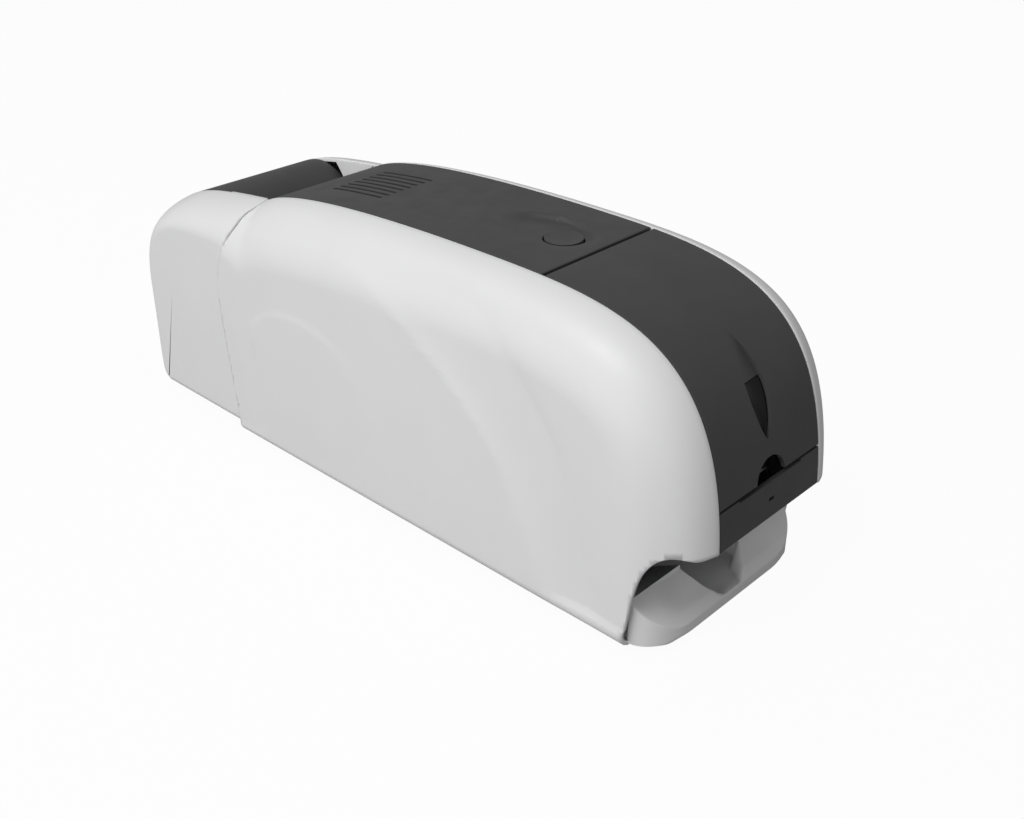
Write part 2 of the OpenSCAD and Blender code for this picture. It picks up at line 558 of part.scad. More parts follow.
// film from one roll round two bars under the print head to the other roll
function tang(cy, r, py, pz, s) = let (dy = py - cy, dzz = pz - spool_z, l = norm([dy, dzz]),
    a = atan2(dzz, dy) + s*acos(r/l))
    [cy + r*cos(a), spool_z + r*sin(a)];
module ribbon_film() color([0.2,0.15,0.25]) ex(-rubber_x + 0.5, rubber_x - 0.5) let (
    a = tang(supply_y, supply_r + 0.4, -66, 103, 1), b = tang(takeup_y, takeup_r + 0.4, -3, 103, -1),
    line = [a, [-66.2,103.4], [-65.6,101.6], [-64,film_z + film_t + 0.6], [-61,film_z + film_t/2],
            [-8,film_z + film_t/2], [-5,film_z + film_t + 0.6], [-3.4,101.6], [-2.8,103.4], b])
    polygon(concat(line, rev([for (i = [0:len(line)-1]) let (p = line[i],
        u = line[min(i+1, len(line)-1)] - line[max(i-1, 0)], n = [-u[1], u[0]]/norm(u)) p - film_t*n])));

// ---- print head on the top cover ----
module head_bracket() color(metal) difference() {
    union() {
        box(-31, 31, -52.5, -50.7, 146, 196 + dz);
        box(-31, 31, -22.3, -20.5, 146, 196 + dz);
        box(-31, 31, -52.5, -20.5, 144.3, 146.1);
        both() box(29.3, 31, -52.5, -20.5, 144.3, 178);
        for (y = [-52, -21]) both() box(24.5, 29.5, y - 0.4, y + 0.4, 190 + dz, 196 + dz);
    }
    for (y = [-60, -24]) both() box(10, 16, y - 2, y + 12, 160, 164);
    for (y = [-52, -21]) both() box(23.9, 30.1, y - 1.55, y + 1.55, 189.9 + dz, 205);
}
module head_heat_sink() color([0.7,0.71,0.73]) union() {
    box(-30, 30, -47, -26, 112.1, 116);
    for (i = [0:9]) box(-30, 30, -47 + 2.1*i, -47 + 2.1*i + 1.1, 115.9, 132);
    both() zrod(24, -36.5, 115.9, 144.28, 3);
}
module print_head() color([0.85,0.84,0.8]) union() {
    box(-30, 30, -46, -27, 106, 112.05);
    ex(-29, 29) polygon([[-44,106.1],[-44,102.6],[-38,film_z+film_t+0.75],[-34,film_z+film_t+0.75],
        [-29,103],[-29,106.1]]);
    box(-20, 20, -27.1, -25, 107, 111);
}
module springs() color(metal) {
    translate([0, rel_y, top_z - 11.9]) coil(7, 5.5, 0.5);
    for (x = [-12, 12]) translate([x, -36.5, 132.6]) coil(4, 11.6, 0.5);
}
module latch_hooks() both() ex(34.2, 37.2) union() {
    polygon([[rel_y - 13.4,top_z-5],[rel_y - 13.4,176+dz],[rel_y - 18,176+dz],[rel_y - 20,180+dz],
        [rel_y - 19,181.5+dz],[rel_y - 16.6,180.6+dz],
        [rel_y - 16.6,top_z-1.6],[rel_y - 13.4,top_z-1.6]]);
}
module hinge_pins() color(metal) {
    rod(-px1 - 2, px1 + 2, hinge_r, hinge_y, hinge_z);
    both() rod(sx - 5.5, sx + 4, hinge_s, fh_y, fh_z);
    rod(-47, 47, hinge_s, lh_y, lh_z);
}

// ---- card hopper ----
hop_f = -217.5; hop_r = -129.8;
module card_hopper() color(dark) { hopper_box(); pusher_guide(); }
module hopper_box() difference() {
    union() {
        both() box(28, 30, hop_f - 2, hop_r + 2, path_z - 4, 158);
        box(-28.1, 28.1, hop_r, hop_r + 2, path_z + 1.5, 158);
        box(-28.1, 28.1, hop_f - 2, hop_f, path_z - 4, 124);
        box(-28.1, 28.1, hop_f - 2, hop_r + 2, path_z - 4, path_z - 0.2);
        both() for (y = [-206, -138]) box(29.9, px0 - 0.05, y - 4, y + 4, 100, 104);
    }
    box(-31, 31, feed_y - 9, hop_r + 3, path_z - 5, path_z + 1);
    both() box(27, 31, -190, -160, 120, 160);
    both() rod(25, 33, roll_r + 1.5, feed_y, roll_z);
    both() box(24, 33, feed_y - 9, hop_r + 3, path_z - 5, path_z + 1);
}
module pusher_plate() color(dark) difference() {
    union() {
        box(-26, 26, -213, -133.5, path_z, path_z + 2.4);
        box(-5, 5, -137, -133.5, path_z + 2.3, path_z + 9);
    }
    both() box(9, 30, feed_y - 9, feed_y + 9, path_z - 1, path_z + 3);
    zrod(0, -135.25, path_z, path_z + 30, 1.06);
}
module pusher_guide() union() {
    zrod(0, -135.25, path_z + 0.05, 157, 1);
    box(-3, 3, -136.25, hop_r - 0.02, 152.6, 155.6);
}

// ---- electronics ----
board_x = 66;
module main_board() color([0.1,0.35,0.2]) difference() {
    union() {
        box(board_x, board_x + 1.6, -150, 60, 60, 150);
        for (p = [[-140,82],[-140,140],[50,70],[50,140]]) rod(px1 + 0.05, board_x + 0.1, 3, p[0], p[1]);
        box(board_x - 3, board_x + 0.1, -60, -36, 100, 124);
        box(board_x - 2.4, board_x + 0.1, -20, -8, 110, 122);
        for (z = [76, 92, 108]) box(board_x - 8, board_x + 0.1, -130, -112, z, z + 12);
        for (y = [10, 24, 38]) rod(board_x - 12, board_x + 0.1, 5, y, 84);
        box(board_x - 9, board_x + 0.1, 40, 52, 104, 132);
    }
    for (p = [[-140,82],[-140,140],[50,70],[50,140]]) rod(px1 - 1, board_x + 3, 1.3, p[0], p[1]);
}
module supply_case() color(metal) difference() {
    box(-34, 34, -70, 88, pan_z + pan_t + 0.05, 62);
    box(-32.5, 32.5, -68.5, 86.5, pan_z + pan_t + 1.5, 60.5);
    for (i = [0:12]) box(-28, 28, -62 + 11*i, -58 + 11*i, 58, 66);
}
module supply_parts() color([0.85,0.75,0.3]) union() {
    box(-31, 31, -67, 85, pan_z + pan_t + 1.55, pan_z + pan_t + 3.4);
    box(-20, 16, -32, 2, pan_z + pan_t + 3.3, 44);
    for (y = [-50, 28]) zrod(12, y, pan_z + pan_t + 3.3, 42, 9);
    box(-28, -24, 18, 68, pan_z + pan_t + 3.3, 40);
}
module power_supply() { supply_case(); supply_parts(); }
fan_y = 72; fan_z = 138;
module fan_frame() color(dark) difference() {
    box(px0 - 12.05, px0 - 0.05, fan_y - 20, fan_y + 20, fan_z - 20, fan_z + 20);
    difference() {
        rod(px0 - 13, px0 + 1, 18.5, fan_y, fan_z);
        rod(px0 - 12.05, px0 - 10, 8, fan_y, fan_z);
        for (a = [0:90:270]) translate([0, fan_y, fan_z]) rotate([a,0,0]) box(px0 - 12.05, px0 - 10.5,
            0, 30, -1.2, 1.2);
    }
    rod(px0 - 13, px0 - 1, 1.5 + run_fit, fan_y, fan_z);
    for (a = [-1, 1], b = [-1, 1]) rod(px0 - 14, px0 + 1, 1.6, fan_y + a*17, fan_z + b*17);
}
module cooling_fan() color(dark) union() {
    rod(px0 - 9.6, px0 - 2, 8, fan_y, fan_z);
    rod(px0 - 11.9, px0 - 9.5, 1.5, fan_y, fan_z);
    for (a = [0:360/7:359]) translate([0, fan_y, fan_z]) rotate([a,0,0])
        translate([px0 - 5.8, 12, 0]) rotate([0,0,0]) rotate([0, 32, 0]) cube([1.2, 10.4, 8.5],
            center = true);
}

// ---- rear module ----
mx = bx - 2.5;
function modx(s) = sx + 1 + (mx - 9 - sx)*s;
function mod_line() = concat(
    [for (i = [0:12]) [bz(mod_b, i/12), nrm(db(mod_b, i/12)), 34 - 18*pow(sin(90*i/12), 0.6), sx + 1,
        mx, sx]],
    [for (i = [1:8]) let (s = pow(sin(90*i/8), 2)) [bz(low_b, i/8), nrm(db(low_b, i/8)), 16 - 8*s,
        modx(s), mx, sx]],
    [for (y = [rear_y - 50, 160, 125]) [[y, module_z], [0,1], 8, modx(1), mx, sx]],
    [for (z = [60, 130]) [[112, z], [1,0], 8, modx(1), mx, sx]]);
module rear_cover() intersection() {
    dish(mod_line(), side_wall);
    ex(sx - 1, bx) seam2d(module_gap);
}
module rear_side_cover_left() color(white) mirror([1,0,0]) rear_cover();
module rear_side_cover_right() color(white) rear_cover();
function below(a, z) = [for (p = a) if (p[1] < z) p];
module rear_panel() color(white) difference() {
    union() {
        ex(-cx, cx) polygon(concat([[rear_y - 0.1, lh_z - 2.8]], below(modprof(0), lh_z - 3),
            [[158.2,module_z]],
            [[158.2,module_z+side_wall]], rev(below(modprof(side_wall), lh_z - 3)),
                [[rear_y - side_wall - 0.1, lh_z - 2.8]]));
        for (q = [[-48,-41],[-18,18],[41,48]]) rod(q[0], q[1], 2.3, lh_y, lh_z);
        for (q = [[-48,-41],[-18,18],[41,48]]) box(q[0], q[1], lh_y - 0.6, lh_y + 2.3, lh_z - 6, lh_z);
    }
    rod(-cx, cx, hinge_s + run_fit, lh_y, lh_z);
    box(-44, 44, rear_y - 30, rear_y + 5, 31, 55);
}
function lid_back(d) = [for (p = along(mod_b, 24, 11, d)) if (p[1] > lh_z + 4) p];
function lid_line(d, z) = concat(arc(lid_y, lid_z, lid_r - d, 166, lid_a, 18), lid_back(d),
    [[rear_y - 0.55 - d, z]]);
module lid2d() polygon(concat(lid_line(0, lh_z + 2.8), rev(lid_line(cover_wall, lh_z + 2.8))));
module rear_lid() color(dark) difference() {
    union() {
        ex(-cx, cx) lid2d();
        both() rod(18.5, 40.5, 2.3, lh_y, lh_z);
        both() box(18.5, 40.5, lh_y - 1, lh_y + 2, lh_z, lh_z + 4);
        both() ex(cx - 2.4, cx) polygon(concat(lid_line(0.5, lh_z + 6), rev(lid_line(8, lh_z + 6))));
    }
    rod(-cx - 1, cx + 1, hinge_s + run_fit, lh_y, lh_z);
}
function bridge_top() = [for (p = modprof(0.8)) if (p[0] > 141.2 && p[0] < lid_y && norm(p - [lid_y,
    lid_z]) > lid_r + 0.9 && p[1] > 150) p];
lid_sweep = max([for (p = arc(lid_y, lid_z, lid_r, 110, 170, 30)) norm(p - [lh_y, lh_z])]);
module bridge2d() difference() {                           // clear of the lid as it swings
    polygon(concat([[141.2,150.03]], [[141.2,174]], bridge_top(),
        arc(lid_y, lid_z, lid_r + 0.8, 105, 151, 8), [[lid_y - 36.2,150.03]]));
    translate([lh_y, lh_z]) circle(lid_sweep + 0.9, $fn = 128);
}
module rear_wall() color(dark) {
    wall_plate();
    box(-cx + 0.1, cx - 0.1, 141.2, lid_y - 36.2, 150.03, 151.6);
    both() ex(cx - 2.3, cx - 0.1) bridge2d();
}
module wall_plate() difference() {
    union() {
        box(-74, 74, 150.03, 152, 40, 150);
        both() box(px1 + 0.05, px1 + 9, 146, 150.1, 60, 70);
    }
    box(-31, 31, 148, 154, path_z - 5, path_z + 6);
    for (i = [0:6]) box(-60 + 18*i, -50 + 18*i, 148, 154, 118, 140);
}
module module_spacers() both() for (z = [70, 112]) translate([64, 158.03, z]) rotate([90,0,0])
    cylinder(h = 6.0, r = 4);
module module_front_plate() difference() {
    box(-74, 74, 158.05, 159.6, floor_z + 0.05, 138);
    box(-31, 31, 157, 161, path_z - 5, path_z + 6);
    box(-30, 30, 157, 161, 30, 70);
}
module module_base() color(metal) { base_floor(); module_front_plate(); module_spacers(); io_plate(); }
floor_z = module_z + side_wall + 2;         // upper face of the module's floor
module base_floor() difference() {
    box(-72, 72, 158.05, rear_y - 27, floor_z - 1.95, floor_z);
    for (i = [0:7]) box(-24, 24, 166 + 8*i, 170 + 8*i, floor_z - 4, floor_z + 2);
}
fr_x = cradle_x + 5;
module frame2d() difference() {
    union() {
        polygon([[159.65,floor_z+0.05],[rear_y - 28,floor_z+0.05],[rear_y - 28,60],
            [turn_y + 24,turn_z + 10],[turn_y + 12,turn_z + 18],
            [turn_y - 12,turn_z + 18],[159.65,turn_z + 4]]);
    }
    translate([turn_y, turn_z]) circle(r = 6 + run_fit);
}
module turner_frame() color(metal) { both() ex(fr_x, fr_x + 2) frame2d(); turner_motor_bracket(); }
module turner_cradle() { color(dark) cradle_body(); turner_gear(); }
module cradle_body() difference() {
    union() {
        both() ex(cradle_x - 4, cradle_x - 1) intersection() {
            translate([turn_y, turn_z]) circle(r = cradle_r - 2);
            translate([turn_y - 50, turn_z - 17]) square([100, 34]);
        }
        both() rod(cradle_x - 1.1, fr_x + 4.5, 6, turn_y, turn_z);
        for (p = [[-34,11],[34,11],[-34,-11],[34,-11]]) rod(-cradle_x + 1.1, cradle_x - 1.1, 2.2,
            turn_y + p[0], turn_z + p[1]);
        both() for (s = [-1, 1]) box(29, cradle_x - 3.9, turn_y - 37, turn_y + 37,
            turn_z + s*1.9 - 0.9, turn_z + s*1.9 + 0.9);
    }
    for (s = [-1, 1]) rod(-cradle_x - 1, cradle_x - 0.8, 1.5 + run_fit, turn_y, turn_z + s*6.7);
    both() box(20, 32, turn_y - 7.5, turn_y + 7.5, turn_z - 9, turn_z + 9);
}
module turn_roller(s) union() {
    rod(-27, 27, 6, turn_y, turn_z + s*6.7);
    rod(-cradle_x + 1.2, cradle_x - 1.2, 1.5, turn_y, turn_z + s*6.7);
}
module turner_roller_lower() color(rubber) turn_roller(-1);
module turner_roller_upper() color(rubber) turn_roller(1);
tg_n = 44; tm_n = 14; tm_d = gm*(tg_n + tm_n)/2 + 0.3; tm_a = -125;
tm_y = turn_y + tm_d*cos(tm_a); tm_z = turn_z + tm_d*sin(tm_a);
tg_x = fr_x + 4.6;
module turner_gear() color([0.9,0.88,0.8]) difference() {
    wheel(-tg_x - 4, -tg_x, turn_y, turn_z, tg_n, gm, tm_a);
    rod(-tg_x - 5, -tg_x + 1, 3, turn_y, turn_z);
    for (a = [0:60:300]) translate([0, turn_y, turn_z]) rotate([a,0,0]) rod(-tg_x - 5, -tg_x + 1, 2.4,
        10, 0);
}
module turner_motor_pinion() color([0.9,0.88,0.8]) union() {
    wheel(-tg_x - 4, -tg_x, tm_y, tm_z, tm_n, gm, tm_a + 180 + 180/tm_n);
    rod(-tg_x - 8.4, -tg_x - 1, 1.5, tm_y, tm_z);
}
tb_x = tg_x + 5.4;
module turner_motor_bracket() difference() {
    union() {
        box(-tb_x - 2, -tb_x, tm_y - 17, tm_y + 17, 40, tm_z + 15);
        for (y = [-14, 14]) rod(-tb_x - 0.1, -fr_x - 2.02, 2.6, tm_y + y, 46);
    }
    rod(-tb_x - 3, -tb_x + 1, 4.5, tm_y, tm_z);
}
module gear_motors() color(metal) {
    motor_can(-bracket_x - 2.03, rm_y, rm_z, 12.5, 20);
    motor_can(-tb_x - 2.03, tm_y, tm_z, 12.5, 16);
}
io_y = rear_y - 10;
module io_plate() difference() {
    union() {
        box(-47, 47, io_y, io_y + 1.5, 27.5, 60);
        ex(-40, 40) polygon([[rear_y - 42,floor_z+0.02],[rear_y - 28,floor_z+0.02],[io_y,27.5],
            [io_y + 1.5,27.5],
            [io_y + 1.5,29],[io_y - 0.5,29],[rear_y - 28.7,floor_z+1.5],[rear_y - 42,floor_z+1.5]]);
    }
    box(-40, -12, io_y - 2, io_y + 3, 33, 53);
    box(-6, 7, io_y - 2, io_y + 3, 37, 49);
    box(12, 24, io_y - 2, io_y + 3, 37, 49);
    box(29, 38, io_y - 2, io_y + 3, 33, 53);
}
module power_inlet() color(rubber) { inlet_body(); switch_housing(); }
module inlet_body() difference() {
    union() {
        box(-39.9, -12.1, io_y - 16, io_y + 2.2, 33.1, 52.9);
        box(-42, -10, io_y + 1.52, io_y + 3, 31.6, 54.4);
    }
    box(-37.5, -14.5, io_y - 9, io_y + 6, 35.5, 50.5);
}
module data_ports() color(metal) { usb_port(); network_port(); }
module usb_port() difference() {
    box(-5.9, 6.9, io_y - 14, io_y + 2.2, 37.1, 48.9);
    box(-4.7, 5.7, io_y - 9, io_y + 3, 38.3, 47.7);
}
module network_port() difference() {
    box(12.1, 23.9, io_y - 14, io_y + 2.2, 37.1, 48.9);
    box(13.3, 22.7, io_y - 10, io_y + 3, 38.3, 46.7);
}
module power_switch() color(rubber) ex(29.4, 37.6) polygon([[io_y - 4,36.5],[io_y + 2.8,34.2],
    [io_y + 4.2,34.6],[io_y + 2.2,43],
    [io_y + 4.2,51.4],[io_y + 2.8,51.8],[io_y - 4,49.5]]);
module switch_housing() difference() {
    union() {
        box(29.05, 37.95, io_y - 13, io_y - 0.05, 33.05, 52.95);
    }
    box(29.06, 37.94, io_y - 5, io_y + 1, 33.1, 52.9);
    rod(28, 39, 0.8, io_y + 1, 43);
}
module card_sensors() color(rubber) for (y = [-74, 100]) union() {
    box(px0 - 12, px0 - 0.05, y - 3, y + 3, path_z + 3.25, path_z + 9);
    box(px0 - 16, px0 - 11.9, y - 3, y + 3, path_z + 3.25, path_z + 7);
}
module screws() color(metal) { foot_screws(); post_screws(); }
module foot_screws() both() for (y = screw_ys) union() {
    zrod(bx - 14.5, y, pan_z - 1.4, pan_z - 0.02, 2.8);
    zrod(bx - 14.5, y, pan_z - 0.1, pan_z + 7, 1.25);
}
module post_screws() for (p = posts) union() {
    rod(-bracket_x - 3.6, -bracket_x - 2.02, 2.6, p[0], p[1]);
    rod(-bracket_x - 2.1, -px0 - 0.2, 1.25, p[0], p[1]);
}

// ---- parts ----
module placed() translate([0, -mid_y, 0]) children();
placed() side_cover_left();
placed() side_cover_right();
placed() top_cover();
placed() release_button();
placed() springs();
placed() front_cover();
placed() control_button();
placed() lower_bezel();
placed() base_pan();
placed() rubber_feet();
placed() output_tray();
placed() stacker_housing();
placed() chassis_plate_left();
placed() chassis_plate_right();
placed() cross_members();
placed() roller_bearings();
placed() card_guide();
placed() feed_roller();
placed() cleaning_roller();
placed() platen_roller();
placed() middle_transport_roller();
placed() rear_transport_roller();
placed() pinch_roller_middle();
placed() pinch_roller_rear();
placed() drive_belt();
placed() drive_bracket();
placed() drive_motor();
placed() motor_pulley();
placed() ribbon_motor_pinion();
placed() gear_motors();
placed() ribbon_cassette();
placed() ribbon_supply_spool();
placed() ribbon_takeup_spool();
placed() ribbon_film();
placed() head_bracket();
placed() head_heat_sink();
placed() print_head();
placed() hinge_pins();
placed() card_hopper();
placed() pusher_plate();
placed() main_board();
placed() power_supply();
placed() fan_frame();
placed() cooling_fan();
placed() rear_side_cover_left();
placed() rear_side_cover_right();
placed() rear_panel();
placed() rear_lid();
placed() rear_wall();
placed() module_base();
placed() turner_frame();
placed() turner_cradle();
placed() turner_roller_lower();
placed() turner_roller_upper();
placed() turner_motor_pinion();
placed() power_inlet();
placed() data_ports();
placed() power_switch();
placed() card_sensors();
placed() screws();
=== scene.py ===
import json
import math

import bmesh
import bpy
import numpy as np
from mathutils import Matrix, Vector


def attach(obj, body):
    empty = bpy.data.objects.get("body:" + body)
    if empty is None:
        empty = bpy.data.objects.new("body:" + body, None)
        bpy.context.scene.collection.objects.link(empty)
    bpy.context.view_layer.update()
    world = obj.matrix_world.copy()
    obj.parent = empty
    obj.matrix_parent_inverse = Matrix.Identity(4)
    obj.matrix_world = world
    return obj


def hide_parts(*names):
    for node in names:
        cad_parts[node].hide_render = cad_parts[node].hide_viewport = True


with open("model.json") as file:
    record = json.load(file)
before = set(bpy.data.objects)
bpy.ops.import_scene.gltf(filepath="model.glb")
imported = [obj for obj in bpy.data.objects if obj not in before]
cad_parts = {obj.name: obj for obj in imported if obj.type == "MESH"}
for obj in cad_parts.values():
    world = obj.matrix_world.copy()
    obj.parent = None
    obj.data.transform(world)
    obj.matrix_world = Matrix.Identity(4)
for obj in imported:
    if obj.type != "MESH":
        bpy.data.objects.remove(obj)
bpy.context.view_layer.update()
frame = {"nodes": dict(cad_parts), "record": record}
nodes = frame["nodes"]
MM = 0.001
MID = np.array([0.0, 7.5, 0.0])             # the middle of the casing in the drawing's coordinates, in mm

# ---- camera: the photograph's station, in millimetres of the row frame ----
AZ, EL = math.radians(46.448), math.radians(29.54)
STATION = (-534.9, -563.1, 484.3)
FOCAL_PX, PHOTO_W, SENSOR = 1258.4, 1024, 36
look = Vector((math.sin(AZ) * math.cos(EL), math.cos(AZ) * math.cos(EL), -math.sin(EL)))
cam = bpy.data.objects.new("camera", bpy.data.cameras.new("camera"))
bpy.context.scene.collection.objects.link(cam)
cam.location = Vector(STATION) * MM
cam.rotation_mode = "QUATERNION"
cam.rotation_quaternion = look.to_track_quat("-Z", "Y")
cam.data.sensor_width, cam.data.lens = SENSOR, FOCAL_PX / PHOTO_W * SENSOR
cam.data.clip_start, cam.data.clip_end = 0.02, 50
bpy.context.scene.camera = cam


# ---- materials ----
def tree(name):
    m = bpy.data.materials.new(name)
    m.use_nodes = True
    nt = m.node_tree
    return m, nt, nt.nodes["Principled BSDF"]


def noise(nt, coord, scale, detail=3.0):
    n = nt.nodes.new("ShaderNodeTexNoise")
    n.inputs["Scale"].default_value = scale
    n.inputs["Detail"].default_value = detail
    nt.links.new(coord, n.inputs["Vector"])
    return n.outputs["Fac"]


def ramp(nt, fac, a, b):
    """Spreads the middle of a noise over the range from a to b."""
    r = nt.nodes.new("ShaderNodeMapRange")
    r.inputs["From Min"].default_value, r.inputs["From Max"].default_value = 0.3, 0.7
    r.inputs["To Min"].default_value, r.inputs["To Max"].default_value = a, b
    nt.links.new(fac, r.inputs["Value"])
    return r.outputs["Result"]


def surface(name, color, rough, vary=0.06, grain=900.0, bump=0.05, metal=0.0, streak=None, spec=0.5):
    """Moulded or sheet surface: cloudy colour and roughness, fine grain in the bump."""
    m, nt, b = tree(name)
    at = nt.nodes.new("ShaderNodeTexCoord").outputs["Object"]
    fine = at
    if streak:
        mp = nt.nodes.new("ShaderNodeMapping")
        mp.inputs["Scale"].default_value = streak
        nt.links.new(at, mp.inputs["Vector"])
        fine = mp.outputs["Vector"]
    mix = nt.nodes.new("ShaderNodeMix")
    mix.data_type = "RGBA"
    mix.inputs["A"].default_value = [c * (1 - vary) for c in color] + [1]
    mix.inputs["B"].default_value = [min(1, c * (1 + vary)) for c in color] + [1]
    nt.links.new(ramp(nt, noise(nt, at, 22.0), 0, 1), mix.inputs["Factor"])
    nt.links.new(mix.outputs["Result"], b.inputs["Base Color"])
    nt.links.new(ramp(nt, noise(nt, at, 60.0, 4.0), rough - 0.05, rough + 0.05), b.inputs["Roughness"])
    bp = nt.nodes.new("ShaderNodeBump")
    bp.inputs["Strength"].default_value = bump
    bp.inputs["Distance"].default_value = 0.0002
    nt.links.new(noise(nt, fine, grain, 2.0), bp.inputs["Height"])
    nt.links.new(bp.outputs["Normal"], b.inputs["Normal"])
    b.inputs["Metallic"].default_value = metal
    b.inputs["Specular IOR Level"].default_value = spec
    return m


def sheet(name, color, rough, grain, bump, streak, vary=0.03):
    """Bare metal with its grain drawn out one way."""
    return surface(name, color, rough, vary=vary, metal=1.0, grain=grain, bump=bump, streak=streak)


WHITE = surface("white_shell", (0.80, 0.80, 0.805), 0.42, vary=0.008, grain=1500.0, spec=0.35)
DARK = surface("dark_cover", (0.058, 0.058, 0.060), 0.5, vary=0.05, grain=2200.0, bump=0.16, spec=0.4)
GLOSS = surface("gloss_key", (0.004, 0.004, 0.0045), 0.2, vary=0.05, grain=300.0, bump=0.01, spec=0.25)
INNER = surface("dark_inner", (0.035, 0.035, 0.037), 0.6, vary=0.08, grain=1800.0, bump=0.2)
STEEL = sheet("sheet_steel", (0.60, 0.61, 0.62), 0.34, 260.0, 0.12, (1, 1, 14), vary=0.05)
TURNED = sheet("turned_steel", (0.70, 0.70, 0.71), 0.2, 300.0, 0.06, (12, 1, 1))
ALU = sheet("aluminium", (0.78, 0.78, 0.79), 0.36, 240.0, 0.12, (1, 12, 12))
RUBBER = surface("black_rubber", (0.022, 0.022, 0.022), 0.72, vary=0.12, bump=0.25)
BLUE = surface("blue_rubber", (0.10, 0.26, 0.50), 0.5, grain=500.0, bump=0.1)
ACETAL = surface("gear_plastic", (0.80, 0.77, 0.68), 0.42, vary=0.03, bump=0.08)
BUSH = surface("bush_plastic", (0.62, 0.53, 0.33), 0.45, vary=0.05, bump=0.1)
FILM = surface("ribbon_film", (0.10, 0.06, 0.13), 0.22, vary=0.15, grain=200.0, bump=0.04)
GREY = surface("cassette", (0.45, 0.47, 0.50), 0.5, vary=0.03, grain=1500.0, bump=0.12)
BOARD = surface("board", (0.018, 0.12, 0.055), 0.4, vary=0.25, grain=420.0, bump=0.3)
CERAMIC = surface("ceramic", (0.78, 0.77, 0.72), 0.3, vary=0.04)
OWN = {
    "white_shell": WHITE, "dark_cover": DARK, "gloss_key": GLOSS, "dark_inner": INNER,
    "sheet_steel": STEEL, "turned_steel": TURNED, "aluminium": ALU, "black_rubber": RUBBER,
    "blue_rubber": BLUE, "gear_plastic": ACETAL, "bush_plastic": BUSH, "ribbon_film": FILM,
    "cassette": GREY, "board": BOARD, "ceramic": CERAMIC,
}


def shade(me, angle):
    me.shade_smooth()
    me.set_sharp_from_angle(angle=math.radians(angle))


def dress(o, mat):
    o.data.materials.clear()
    o.data.materials.append(mat)
    shade(o.data, 32)


for part in frame["record"]["subparts"]:
    dress(nodes[part["node"]], OWN[part["material_slot"]])
dress(nodes["rear_wall"], WHITE)            # its cheek shows white beside the rear lid


# ---- curves of the casing: (y, z) in millimetres, front to rear ----
FRONT = [(-252, 72), (-245, 197), (-184, 202), (-80, 202)]
REAR = [(-80, 202), (11, 202), (109, 197), (138, 181)]
MOD = [(120, 184), (213, 172), (268.8, 174.7), (267, 87)]
LOW = [(267, 87), (267, 25), (264, 13.3), (248, 9)]
CX, SX, BX = 49.6, 50.0, 86.5               # half widths: dark covers, side covers' inner edge and outside
MX = BX - 2.5                               # half width of the rear module
SEAM_Y, SEAM_GAP, LIP = -118.3, 2.4, 75.0   # seam between the dark covers, and the bezel's lower edge
SIDE_WALL, COVER_WALL, SHOULDER = 2.5, 2.8, 42.0


def bez(p, t):
    p, t = np.array(p, float), np.atleast_1d(t)[:, None]
    return (1 - t) ** 3 * p[0] + 3 * (1 - t) ** 2 * t * p[1] + 3 * (1 - t) * t * t * p[2] + t ** 3 * p[3]


def dbez(p, t):
    p, t = np.array(p, float), np.atleast_1d(t)[:, None]
    return 3 * (1 - t) ** 2 * (p[1] - p[0]) + 6 * (1 - t) * t * (p[2] - p[1]) + 3 * t * t * (p[3] - p[2])


def inward(v):
    n = np.stack([v[:, 1], -v[:, 0]], 1)
    return n / np.linalg.norm(n, axis=1)[:, None]


def along(curve, t):
    """Points and inward normals of one curve."""
    return bez(curve, t), inward(dbez(curve, t))


def smooth(x):
    x = np.clip(x, 0, 1)
    return x * x * (3 - 2 * x)


def rounding(d, r):
    """How far a rim of radius r has dropped at a distance d from its edge."""
    return r - np.sqrt(np.maximum(r ** 2 - np.maximum(r - d, 0) ** 2, 0))


def profile(n, y0, y1, z0=0):
    """Top line of the casing as (y, z) points and inward normals between two stations."""
    t = np.linspace(0, 1, 3000)
    p = np.vstack([bez(FRONT, t), bez(REAR, t)[1:]])
    v = np.vstack([dbez(FRONT, t), dbez(REAR, t)[1:]])
    keep = (p[:, 0] >= y0) & (p[:, 0] <= y1) & (p[:, 1] >= z0)
    p, v = p[keep], v[keep]
    s = np.concatenate([[0], np.cumsum(np.linalg.norm(np.diff(p, axis=0), axis=1))])
    q = np.linspace(0, s[-1], n) if np.isscalar(n) else np.asarray(n) * s[-1]
    p = np.stack([np.interp(q, s, p[:, 0]), np.interp(q, s, p[:, 1])], 1)
    v = np.stack([np.interp(q, s, v[:, 0]), np.interp(q, s, v[:, 1])], 1)
    return p, inward(v), q


def at_heights(line, z):
    """Points and normals of a fine profile at given heights."""
    i = np.clip(np.searchsorted(line[0][:, 1], z), 0, len(line[0]) - 1)
    return line[0][i], line[1][i]


def spline(points, n=8):
    """Smooth curve through points, in n steps from one to the next."""
    p = np.array(points, float)
    p = np.vstack([2 * p[0] - p[1], p, 2 * p[-1] - p[-2]])
    out = []
    for i in range(1, len(p) - 2):
        for k in range(n):
            t = k / n
            out.append(0.5 * ((2 * p[i]) + (p[i + 1] - p[i - 1]) * t
                              + (2 * p[i - 1] - 5 * p[i] + 4 * p[i + 1] - p[i + 2]) * t * t
                              + (3 * p[i] - p[i - 1] - 3 * p[i + 1] + p[i + 2]) * t ** 3))
    return np.array(out + [p[-2]])


